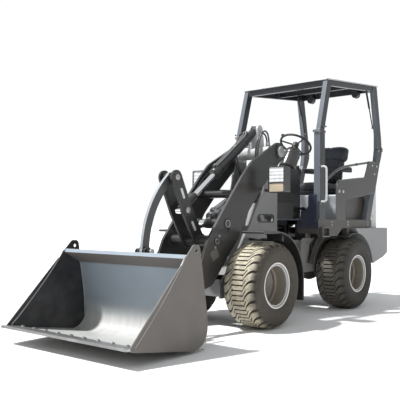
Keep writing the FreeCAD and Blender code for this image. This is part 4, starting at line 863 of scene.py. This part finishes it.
def dressHeadlamps():
    y0, y1 = (v / 1000 for v in lampBox["y"])
    z0, z1 = (v / 1000 for v in lampBox["z"])
    split = z0 + lampBox["split"] * (z1 - z0)
    face, middle, width = front(lampBox["front"], 0, 0)[0], (y0 + y1) / 2, (y1 - y0) / 2 - 0.012
    bezel = [rim(y0 - 0.001, y1 + 0.001, z0 - 0.001, z1 + 0.001, 0.02, 0.011, face - 0.012, face + 0.003, "yz"),
             slab(rounded(y0 + 0.006, y1 - 0.006, split - 0.005, split + 0.006, 0.004), face - 0.01, face + 0.002,
                  "yz")]
    piece("headlamp_bezels", bothSides(bezel), "headlamp_housings", "front", bevel=0.0015)
    glass = pressedLens((face - 0.006, middle, (split + z1) / 2), width, (z1 - split) / 2 - 0.012, 4, 0.004, 25, 21)
    piece("headlamp_glass", bothSides([glass]), "clear_lens", "front")
    glass = pressedLens((face - 0.006, middle, (split + z0) / 2 + 0.001), width, (split - z0) / 2 - 0.012, 4, 0.004,
                        25, 21)
    piece("indicator_glass", bothSides([glass]), "amber_lens", "front")
    screws = bolts([(face + 0.001, y, split) for y in (y0 + 0.012, y1 - 0.012)], (1, 0, 0), 0.004)
    screws += bolts([(face - 0.1055, y0 + 0.06, z0 + height) for height in (0.025, 0.065)], (-1, 0, 0), 0.009)
    piece("headlamp_screws", bothSides(screws), "worn_steel", "front")


# a front fender in mm: middle and radius of its lip, and where the lip's level and upright ends stop
fender = {"middle": (-5.0, 425.0), "radius": 450.0, "level": (195.0, 95.0), "foot": (320.0, 217.0), "lip": 639.0}


def dressFenders():
    # a thick rubber nose on the level front of each fender, and a rolled lip along its outer edge
    x0, z0 = fender["middle"]
    nose = slab(rounded(front(-20, 0, 0)[0], front(226, 0, 0)[0], 0.8635, 0.8875, 0.0118, 7), 0.404, 0.643)
    turn = np.linspace(0, math.pi / 2, 40)
    x = np.concatenate([fender["level"], x0 - fender["radius"] * np.sin(turn), [x0 - fender["radius"]] * 2])
    z = np.concatenate([[z0 + fender["radius"]] * 2, z0 + fender["radius"] * np.cos(turn), fender["foot"]])
    lip = carried([front(*spot) for spot in zip(x, np.full_like(x, fender["lip"]), z)], toLeft, 0.0075, 10)
    piece("fender_noses", bothSides([nose]), "headlamp_housings", "front", bevel=0.003)
    piece("fender_lips", bothSides([lip]), "rear_fenders", "front")
    heads = bolts([front(-150, y, 859.5) for y in (450, 590)], (-0.32, 0, 0.95), 0.008)
    piece("fender_bolts", bothSides(heads), "worn_steel", "front")


# the roll bar's posts, in mm
posts = {"face": 552.0, "width": 72.0, "front": 720.0, "back": 612.0, "knee": 1930.0}


def dressRollBar():
    fittings, heads = [], []
    inner, outer = posts["face"] - posts["width"] - 8, posts["face"] + 6
    corners = [(x, y) for x in (posts["back"] + 8, posts["front"] - 4) for y in (inner + 16, outer - 16)]
    for way in (1, -1):
        heads += bolts([rear(x, y, posts["knee"] + way * 12) for x, y in corners], (0, 0, way), 0.010)
    # foot plate of each front post, bolted to the floor
    back, ahead = rear(590, 0, 0)[0], rear(738, 0, 0)[0]
    fittings.append(slab([(back, 0.455), (ahead, 0.455), (ahead, 0.556), (back, 0.556)], 1.0005, 1.012, "xy"))
    heads += bolts([rear(x, 468, 1012) for x in (600, 728)], upward, 0.010)
    # pivot of the folding half on each rear post: washer, pin head and locking knob
    for x, z in ((-858, 1880), (-752, 1862)):
        fittings.append(turned(button(0.028, 0.006, 0.002), rear(x, 552, z), toLeft, 28))
        heads += bolt(rear(x, 557, z), toLeft, 0.012)
    fittings.append(turned([(0, 0.05), (0.009, 0.05), (0.011, 0.046), (0.006, 0.038), (0.006, 0.0), (0, 0.0)],
                           rear(676, 552, 1975), toLeft, 16))
    piece("roll_bar_fittings", bothSides(fittings), "rops_lower", "rear", bevel=0.0015)
    piece("roll_bar_bolts", bothSides(heads), "worn_steel", "rear")


def dressRoof():
    # drip edge along the roof's front and sides, and pressed ribs on its top
    low, high = boxOf("roof_panel")
    slope = (high[2] - low[2] - 0.008) / (high[0] - low[0])

    def roofZ(x):
        return high[2] - 0.001 - (x - low[0]) * slope

    drip = [carried([(high[0] - 0.003, y, roofZ(high[0]) - 0.003) for y in np.linspace(-0.553, 0.553, 24)],
                    upward, 0.007, 8)]
    x = np.linspace(low[0] + 0.004, high[0] - 0.004, 30)
    for y in (-0.555, 0.555):
        drip.append(carried(np.stack([x, np.full_like(x, y), roofZ(x) - 0.004], -1), upward, 0.006, 8))
    piece("roof_edge", drip, "light_paint", "rear")
    # six ribs along the panel: a clipped cosine across it, level towards its edges
    u, v = np.meshgrid(np.linspace(0, 1, 61), np.linspace(0, 1, 49), indexing="ij")
    x = low[0] + 0.03 + u * (high[0] - low[0] - 0.06)
    y = -0.53 + v * 1.06
    inset = np.clip(np.minimum(np.minimum(u, 1 - u) * 14, np.minimum(v, 1 - v) * 12), 0, 1)
    wave = 0.5 + 0.5 * np.cos(v * 2 * math.pi * 6)
    top = np.stack([x, y, roofZ(x) + 0.001 + 0.009 * np.clip(wave * 1.8 - 0.4, 0, 1) * inset], -1)
    under = np.stack([x, y, roofZ(x) - 0.002], -1)
    piece("roof_ribs", [lattice(top), lattice(under[::-1])], "rops_upper", "rear")
    balls = [turned(button(0.011, 0.018, 0.003), rear(x, 480, z), toLeft, 20) for x, z in ((-545, 2599), (-733, 2150))]
    piece("strut_ends", bothSides(balls), "worn_steel", "rear")


def dressGuards():
    heads = bolts([rear(x, 560, 1311) for x in (300, 205)], toLeft, 0.013)
    heads += bolts([rear(x, 560, z) for x, z in ((-690, 1660), (-560, 1660), (-620, 1560))], toLeft, 0.010)
    piece("guard_bolts", bothSides(heads), "light_paint", "rear")
    # rolled lips along the guard's upper edge and round its window
    edge = [(363, 1200), (363, 1330), (352, 1395), (310, 1428), (240, 1437), (60, 1457), (-200, 1485), (-330, 1500),
            (-372, 1540), (-440, 1672), (-452, 1692)]
    window = [(150, 1020), (150, 1120), (132, 1190), (60, 1235), (-200, 1272), (-500, 1316), (-625, 1334)]
    lips = [carried(smoothPath(sideLine(edge, 556, rear), 90), toLeft, 0.0062, 10),
            carried(smoothPath(sideLine(window, 556, rear), 80), toLeft, 0.0055, 10)]
    piece("guard_edges", bothSides(lips), "side_guards", "rear")
    collar = [(0.0132, -0.012), (0.0165, -0.011), (0.0165, 0.011), (0.0132, 0.012), (0.0132, -0.012)]
    collars = [turned(collar, rear(x, 546, z), (1, 0, -0.2), 24) for x, z in ((-481, 1691), (-152, 1642), (392, 1514))]
    piece("rail_collars", bothSides(collars), "black_plastic", "rear")
    foot = [(0.0112, 0.0005), (0.024, 0.0005), (0.024, 0.006), (0.014, 0.009), (0.0112, 0.009), (0.0112, 0.0005)]
    feet = [turned(foot, rear(704, 552, z), toLeft, 24) for z in (1184, 1552)]
    piece("handle_feet", bothSides(feet), "side_guards", "rear")


def dressSteps():
    low, high = boxOf("step_boxes")
    treads = [slab(rounded(x - 0.0035, x + 0.0035, 0.564, 0.598, 0.003), low[2] + 0.006, low[2] + 0.013, "xy")
              for x in np.linspace(low[0] + 0.014, high[0] - 0.014, 9)]
    piece("step_treads", bothSides(treads), "worn_steel", "rear")
    frames = [rim(low[0] - 0.001, high[0] + 0.001, low[2] - 0.001, high[2] + 0.001, 0.012, 0.008, 0.598, 0.605, "xz")]
    piece("step_frames", bothSides(frames), "cylinder_paint", "rear", bevel=0.0008)
    # a mat in front of the seat box, its studs in rows with one row left out on the right
    spots = [(x, y) for x in np.arange(90, 530, 42) for y in np.arange(-420, 421, 42) if not -240 < y < -190]
    studs = [turned([(0, 0.003), (0.010, 0.003), (0.013, 0.0), (0, 0.0)], rear(x, y, 1004), upward, 8)
             for x, y in spots]
    mat = slab(rounded(rear(70, 0, 0)[0], rear(535, 0, 0)[0], -0.44, 0.44, 0.05), 1.0005, 1.0045, "xy")
    piece("floor_mat", [mat, *studs], "floor_rubber", "rear")
    spots = [(x, z) for x in (-430, 90, 470) for z in (940, 972)] + [(700, 862)]
    piece("sill_bolts", bothSides(bolts([rear(x, 560, z) for x, z in spots], toLeft, 0.009)), "worn_steel", "rear")


# cloth of the seat's pads: sizes in metres, pressure and frames of the simulation
cushions = {"voxel": 0.0055, "quickVoxel": 0.012, "pressure": 4.0, "cap": 0.014, "frames": 20, "channel": 0.006}


def spotsOf(mesh, kind="co"):
    values = np.zeros(len(mesh.vertices) * 3)
    mesh.vertices.foreach_get(kind, values)
    return values.reshape(-1, 3)


def softPad(name, form, seams):
    # the pad is blown up as cloth from a smaller shape, its movement is capped, and seams are sewn in after
    pad = placed(name, meshOf(name, *form))

    def settle(kind, **values):
        made = pad.modifiers.new(kind.lower(), kind)
        for key, value in values.items():
            setattr(made, key, value)
        return made

    def apply():
        ready = bpy.data.meshes.new_from_object(pad.evaluated_get(bpy.context.evaluated_depsgraph_get()))
        pad.modifiers.clear()
        pad.data = ready

    settle("REMESH", mode="VOXEL", voxel_size=cushions["voxel"])
    apply()
    before = spotsOf(pad.data)
    cloth = settle("CLOTH")
    cloth.settings.use_pressure = True
    cloth.settings.uniform_pressure_force = cushions["pressure"]
    cloth.settings.effector_weights.gravity = 0
    cloth.settings.quality = 5
    cloth.point_cache.frame_end = cushions["frames"]
    for number in range(1, cushions["frames"] + 1):
        bpy.context.scene.frame_set(number)
    apply()
    bpy.context.scene.frame_set(1)
    moved = spotsOf(pad.data) - before
    far = np.linalg.norm(moved, axis=1, keepdims=True)
    moved *= np.minimum(1, cushions["cap"] / np.maximum(far, 1e-9))
    pad.data.vertices.foreach_set("co", (before + moved).reshape(-1))
    settle("SUBSURF", levels=1, render_levels=1)
    apply()
    spots, normals = spotsOf(pad.data), spotsOf(pad.data, "normal")
    depth, crown = seams(spots, normals)
    pad.data.vertices.foreach_set("co", (spots - normals * depth[:, None]).reshape(-1))
    pad.data.attributes.new("crown", "FLOAT", "POINT").data.foreach_set("value", crown.astype("f4"))
    pad.data.polygons.foreach_set("use_smooth", [True] * len(pad.data.polygons))
    pad.data.materials.clear()
    pad.data.materials.append(finishes["seat_vinyl"])
    pad.data.update()
    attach(pad, "rear")
    return pad


def padForm(outline, half, narrow, roundness=3.2):
    # a side-view outline carried across the seat; it pulls in towards both ends as a cushion does
    line = smoothPath([(x, z, 0) for x, z in [*outline, outline[0]]], 90)[:-1, :2]
    middle = line.mean(0)
    s = np.sin(np.linspace(-math.pi / 2, math.pi / 2, 31))
    pull = (1 - np.abs(s) ** roundness) ** (1 / roundness) * (1 - narrow) + narrow
    pull[[0, -1]] = 0.0
    grid = middle + (line - middle)[None] * pull[:, None, None]
    points = np.stack([rearAxle[0] + grid[..., 0] / 1000,
                       np.broadcast_to((s * half / 1000)[:, None], grid.shape[:2]), grid[..., 1] / 1000], -1)
    return lattice(points, closedV=True)


def sewn(value, width):
    # 1 along a seam where value is 0, easing out over its width
    return np.exp(-(value / width) ** 2)


def padPlaces(spots):
    # mm ahead of the rear axle, away from the seat's middle and above the ground
    return (spots[:, 0] - rearAxle[0]) * 1000, np.abs(spots[:, 1]) * 1000, spots[:, 2] * 1000


def cushionSeams(spots, normals):
    x, y, z = padPlaces(spots)
    up = np.clip(normals[:, 2] * 2 - 0.4, 0, 1)
    channels = sum(sewn(x - place, 7.0) for place in (-400, -320, -240, -160)) * (y < 150) * (x < -120)
    border = sewn(y - 152, 6.0) + sewn(x + 118, 6.0) * (y < 150)
    belt = sewn(z - 1392, 3.0) * (1 - up) * 0.6
    sew = np.clip((channels + border) * up + belt, 0, 1)
    return sew * cushions["channel"], sew * 0.9


def backSeams(spots, normals):
    _, y, z = padPlaces(spots)
    ahead = np.clip(normals[:, 0] * 2 - 0.2, 0, 1)
    channels = sum(sewn(z - place, 7.0) for place in (1530, 1595, 1660)) * (y < 132)
    sew = np.clip((channels + sewn(y - 135, 6.0)) * ahead, 0, 1)
    return sew * cushions["channel"], sew * 0.9


def bolsterSeams(spots, normals):
    _, y, z = padPlaces(spots)
    ahead = np.clip(normals[:, 0] * 2 - 0.2, 0, 1)
    sew = np.clip((sewn(y - 165, 6.0) + sewn(z - 1765, 5.0) * (y < 165)) * ahead, 0, 1)
    return sew * cushions["channel"] * 0.8, sew * 0.9


def makeSeat():
    cushion = [(-478, 1362), (-250, 1352), (-60, 1352), (-30, 1372), (-28, 1408), (-62, 1436), (-250, 1428),
               (-440, 1432), (-480, 1412)]
    back = [(-440, 1466), (-520, 1462), (-545, 1560), (-598, 1775), (-512, 1785), (-490, 1700), (-450, 1560)]
    bolster = [(-500, 1700), (-560, 1698), (-592, 1780), (-622, 1900), (-590, 1925), (-540, 1918), (-514, 1840)]
    for pad in (softPad("seat_cushion", padForm(cushion, 222, 0.25), cushionSeams),
                softPad("seat_back", padForm(back, 196, 0.3), backSeams),
                softPad("seat_bolster", padForm(bolster, 240, 0.35, 2.6), bolsterSeams)):
        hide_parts("seat_cushions")


def dressSteering():
    # hub cap, turning knob and finger grips of the wheel, and a fat turned cover over its column
    middle = pivot("steering_wheel_turn")
    axis = np.array(joints["steering_wheel_turn"]["axis"], float)
    first, second, _ = across(axis)
    cap = turned([(0, 0.018), (0.02, 0.0175), (0.03, 0.014), (0.036, 0.008), (0.0385, 0.0), (0, 0.0)],
                 middle + axis * 0.007, axis, 40)
    knob = turned([(0, 0.058), (0.012, 0.056), (0.019, 0.05), (0.0215, 0.042), (0.019, 0.033), (0.01, 0.028),
                   (0.008, 0.0), (0.014, -0.006), (0, -0.006)], middle + first * 0.12 + second * 0.134, axis, 24)
    grips = []
    for angle in np.arange(32) / 32 * 2 * math.pi:
        spot = middle + 0.18 * (math.cos(angle) * first + math.sin(angle) * second) - axis * 0.0115
        grips.append(turned(button(0.0045, 0.0035, 0.0015, -0.0015), spot, -axis, 8))
    piece("steering_wheel_trim", [cap, knob, *grips], "black_plastic", "steering_wheel")
    # the cover's shoulder, its clamp band and its foot
    cover = [(0.045, -0.085), (0.05, -0.078), (0.07, -0.088), (0.084, -0.102), (0.09, -0.122), (0.091, -0.15),
             (0.0955, -0.153), (0.0955, -0.172), (0.0915, -0.175), (0.099, -0.335), (0.096, -0.347), (0.08, -0.347),
             (0.04, -0.2), (0.045, -0.085)]
    piece("column_cover", [turned(cover, middle, axis, 56)], "column_cover", "rear",
          bevel=0.0015)


def dressDriver():
    # ribs on both pedals' rubber pads, boot and grip of the lever, rings of the dials, pads of the armrests
    ribs = []
    for y in (0.161, 0.251):
        for share in np.linspace(0, 1, 6):
            rib = slab([(-0.005, 0), (0.005, 0), (0.005, 0.006), (-0.005, 0.006)], y - 0.026, y + 0.026)
            ribs.append(leaned(rib, 25, rear(326 + 88 * share, 0, 1087 + 42 * share)))
    piece("pedal_pads", ribs, "black_plastic", "rear", bevel=0.0008)
    lever, folds = rear(-50, -330, 1290), []
    for k in range(5):
        radius = 0.044 - 0.005 * k
        folds.append(turned([(0.01, 0.0), (radius, 0.001), (radius + 0.004, 0.006), (radius - 0.001, 0.0115),
                             (0.01, 0.0125), (0.01, 0.0)], lever + (0, 0, 0.0125 * k + 0.0005), upward, 28))
    grip = turned([(0, 0.075), (0.014, 0.073), (0.021, 0.062), (0.023, 0.045), (0.018, 0.026), (0.0155, 0.0),
                   (0.012, -0.006), (0, -0.006)], lever + (0, 0, 0.238), upward, 24)
    piece("lever_boot", folds, "hose_rubber", "rear")
    piece("lever_grip", [grip], "black_plastic", "rear")
    ring = [(0.012, 0.003), (0.022, 0.006), (0.026, 0.003), (0.026, -0.002), (0.012, -0.002), (0.012, 0.003)]
    dials = [turned(ring, rear(490, y, 1561), upward, 24) for y in (-62, 0, 62)]
    piece("console_dials", dials, "worn_steel", "rear")
    line = [(-588, 1642), (-500, 1640), (-400, 1633), (-300, 1624), (-283, 1618)]
    rests = [carried(smoothPath(sideLine(line, y, rear), 30), toLeft, 0.0165, 14) for y in (-256, 256)]
    piece("armrest_pads", rests, "seat_vinyl", "rear")


# the hood's rear face in mm, and its grille in metres: rows of upright bars, each row in a frame
grille = {"face": -840.0, "rows": 7, "foot": 1.010, "rise": 0.048, "bars": 23, "pitch": 0.026}


def dressHood():
    x = rear(grille["face"], 0, 0)[0]
    parts = []
    for row in range(grille["rows"]):
        z = grille["foot"] + grille["rise"] * row
        for k in range(grille["bars"]):
            y = grille["pitch"] * (k - (grille["bars"] - 1) / 2)
            parts.append(slab(rounded(y - 0.0022, y + 0.0022, z - 0.001, z + 0.023, 0.002, 2), x + 0.0012,
                              x + 0.0042, "yz"))
        parts.append(rim(-0.305, 0.305, z - 0.005, z + 0.027, 0.008, 0.005, x - 0.0025, x + 0.001, "yz"))
    piece("hood_grille", parts, "black_plastic", "hood")
    pull = [(x - 0.003, -0.034, 1.372), (x - 0.012, -0.03, 1.372), (x - 0.0145, 0, 1.372), (x - 0.012, 0.03, 1.372),
            (x - 0.003, 0.034, 1.372)]
    latch = [slab(rounded(-0.05, 0.05, 1.352, 1.392, 0.012), x - 0.004, x + 0.001, "yz"),
             carried(smoothPath(pull, 24), upward, 0.005, 10)]
    piece("hood_latch", latch, "black_plastic", "hood")
    screws = bolts([rear(-707, 495, z) for z in (1050, 1300)], toLeft, 0.008)
    piece("hood_screws", bothSides(screws), "worn_steel", "hood")


def dressRear():
    # tow pin and bolts of the counterweight, and a lamp on each of its wings
    pin = turned([(0, 0.03), (0.011, 0.03), (0.013, 0.026), (0.013, 0.0), (0.022, -0.001), (0.022, -0.008),
                  (0.0155, -0.009), (0.0155, -0.11), (0.010, -0.125), (0, -0.125)], rear(-818, 0, 700), upward, 24)
    piece("tow_pin", [pin], "worn_steel", "rear")
    face = rear(-870, 0, 0)[0]
    heads = bolts([(face, y, 0.80) for y in (-0.54, -0.4, 0.4, 0.54)], (-1, 0, 0), 0.016)
    piece("counterweight_bolts", heads, "worn_steel", "rear")
    glass = [pressedLens((face - 0.0005, y, 0.695), -0.057, 0.022, 6, -0.008, 21, 11) for y in (-0.53, 0.53)]
    frames = [rim(y - 0.062, y + 0.062, 0.668, 0.722, 0.012, 0.006, face - 0.007, face + 0.001, "yz")
              for y in (-0.53, 0.53)]
    piece("rear_lamps", glass, "amber_lens", "rear")
    piece("rear_lamp_rims", frames, "black_plastic", "rear", bevel=0.0008)


def dressFrames():
    # bolts and slot rims on both frames' side plates, and the work lamps' glass
    spots = [(x, z) for x in (-380, -300, 120, 340, 480) for z in (520, 740) if (x, z) != (340, 520)]
    heads = bolts([rear(x, 262, z) for x, z in spots], toLeft, 0.010)
    piece("chassis_bolts", bothSides(heads), "worn_steel", "rear")
    x = rear(405, 0, 0)[0]
    slot = rim(x - 0.046, x + 0.046, 0.525, 0.741, 0.044, 0.012, 0.2615, 0.2655, "xz")
    piece("chassis_slot_rims", bothSides([slot]), "worn_steel", "rear")
    x = front(-425, 0, 0)[0]
    slot = rim(x - 0.147, x + 0.147, 0.963, 1.047, 0.04, 0.012, 0.2145, 0.2185, "xz")
    piece("tower_slot_rims", bothSides([slot]), "dark_paint", "front")
    spots = [(-560, 420), (-560, 560), (-440, 560), (-440, 420), (-540, 1560), (-480, 1440)]
    heads = bolts([front(x, 215, z) for x, z in spots], toLeft, 0.011)
    piece("tower_bolts", bothSides(heads), "worn_steel", "front")
    low, _ = boxOf("work_lamps")
    glass = [turned([(0, 0.006), (0.03, 0.005), (0.0385, 0.002), (0.0385, -0.002), (0, -0.002)],
                    (low[0] - 0.0005, y, low[2] + 0.046), (-1, 0, 0), 36) for y in (-0.32, 0.32)]
    piece("work_lamp_glass", glass, "clear_lens", "rear")


def dressHoses():
    # a crimped sleeve and a hexagon on each hose that leaves the tower's top, a sleeve where it enters lower down
    sleeve = [(0.0093, 0.0), (0.0135, 0.001), (0.0135, 0.03), (0.0115, 0.034), (0.0115, 0.04), (0.0093, 0.042),
              (0.0093, 0.0)]
    hexagon = [(0.0093, 0.001), (0.017, 0.001), (0.017, 0.013), (0.0093, 0.013), (0.0093, 0.001)]
    lower = [(0.0093, 0.001), (0.0135, 0.001), (0.0135, 0.03), (0.0115, 0.034), (0.0093, 0.036), (0.0093, 0.001)]
    ends = []
    for y in (118, 144, -118, -144):
        top = front(-580, y, 1757)
        ends += [turned(sleeve, top, upward, 20), turned(hexagon, top, upward, 6),
                 turned(lower, front(-618.5, y, 1435), (1, 0, 0), 20)]
    piece("hose_ends", ends, "worn_steel", "front")


dressBucket()
dressHeadlamps()
dressFenders()
dressRollBar()
dressRoof()
dressGuards()
dressSteps()
makeSeat()
print("seat made")
dressSteering()
dressDriver()
dressHood()
dressRear()
dressFrames()
dressHoses()
print("body dressed")


studio = {"sunPower": 5.6, "sunWidth": 0.06, "skyPower": 0.72, "skySeen": 1.05, "skyTone": (0.96, 0.98, 1.0, 1),
          "sunFrom": (0.40, -0.35, 0.85), "floorReach": 60.0, "eye": (4.871, 3.626, 0.980), "yaw": 0.633,
          "pitch": 0.037, "roll": -0.007, "lens": 53.8, "shift": (-0.1158, -0.00375)}


def makeFloor():
    white = Shader("floor_white")
    white.finish(Base_Color=white.mix(white.noise(3.0, 2.0), (0.76, 0.76, 0.76), (0.79, 0.79, 0.79)), Roughness=0.9)
    reach = studio["floorReach"]
    mesh = bpy.data.meshes.new("studio_floor")
    mesh.from_pydata([(-reach, -reach, 0), (reach, -reach, 0), (reach, reach, 0), (-reach, reach, 0)], [],
                     [(0, 1, 2, 3)])
    mesh.materials.append(white.material)
    placed("studio_floor", mesh)


def makeSky():
    # the sky that lights the machine is weaker than the white that stands behind it
    world = bpy.data.worlds.new("studio")
    bpy.context.scene.world = world
    world.use_nodes = True
    nodes, links = world.node_tree.nodes, world.node_tree.links
    nodes["Background"].inputs[0].default_value = studio["skyTone"]
    power = nodes.new("ShaderNodeMapRange")
    power.inputs["To Min"].default_value, power.inputs["To Max"].default_value = studio["skyPower"], studio["skySeen"]
    links.new(nodes.new("ShaderNodeLightPath").outputs["Is Camera Ray"], power.inputs["Value"])
    links.new(power.outputs["Result"], nodes["Background"].inputs[1])


def makeSun():
    sun = bpy.data.lights.new("sun", "SUN")
    sun.energy, sun.angle = studio["sunPower"], studio["sunWidth"]
    x, y, z = studio["sunFrom"]
    placed("sun", sun).rotation_euler = (0, math.atan2(math.hypot(x, y), z), math.atan2(y, x))


def makeCamera():
    camera = bpy.data.cameras.new("camera")
    camera.sensor_width = 36.0
    camera.lens = studio["lens"]
    camera.shift_x, camera.shift_y = studio["shift"]
    camera.clip_end = 200
    holder = placed("camera", camera)
    holder.location = studio["eye"]
    # turned up from looking at the ground to looking level, then round to the machine
    holder.rotation_euler = (math.pi / 2 + studio["pitch"], studio["roll"], studio["yaw"] + math.pi / 2)
    bpy.context.scene.camera = holder


makeFloor()
makeSky()
makeSun()
makeCamera()
bpy.context.scene.view_settings.view_transform = "Standard"
print("studio set")
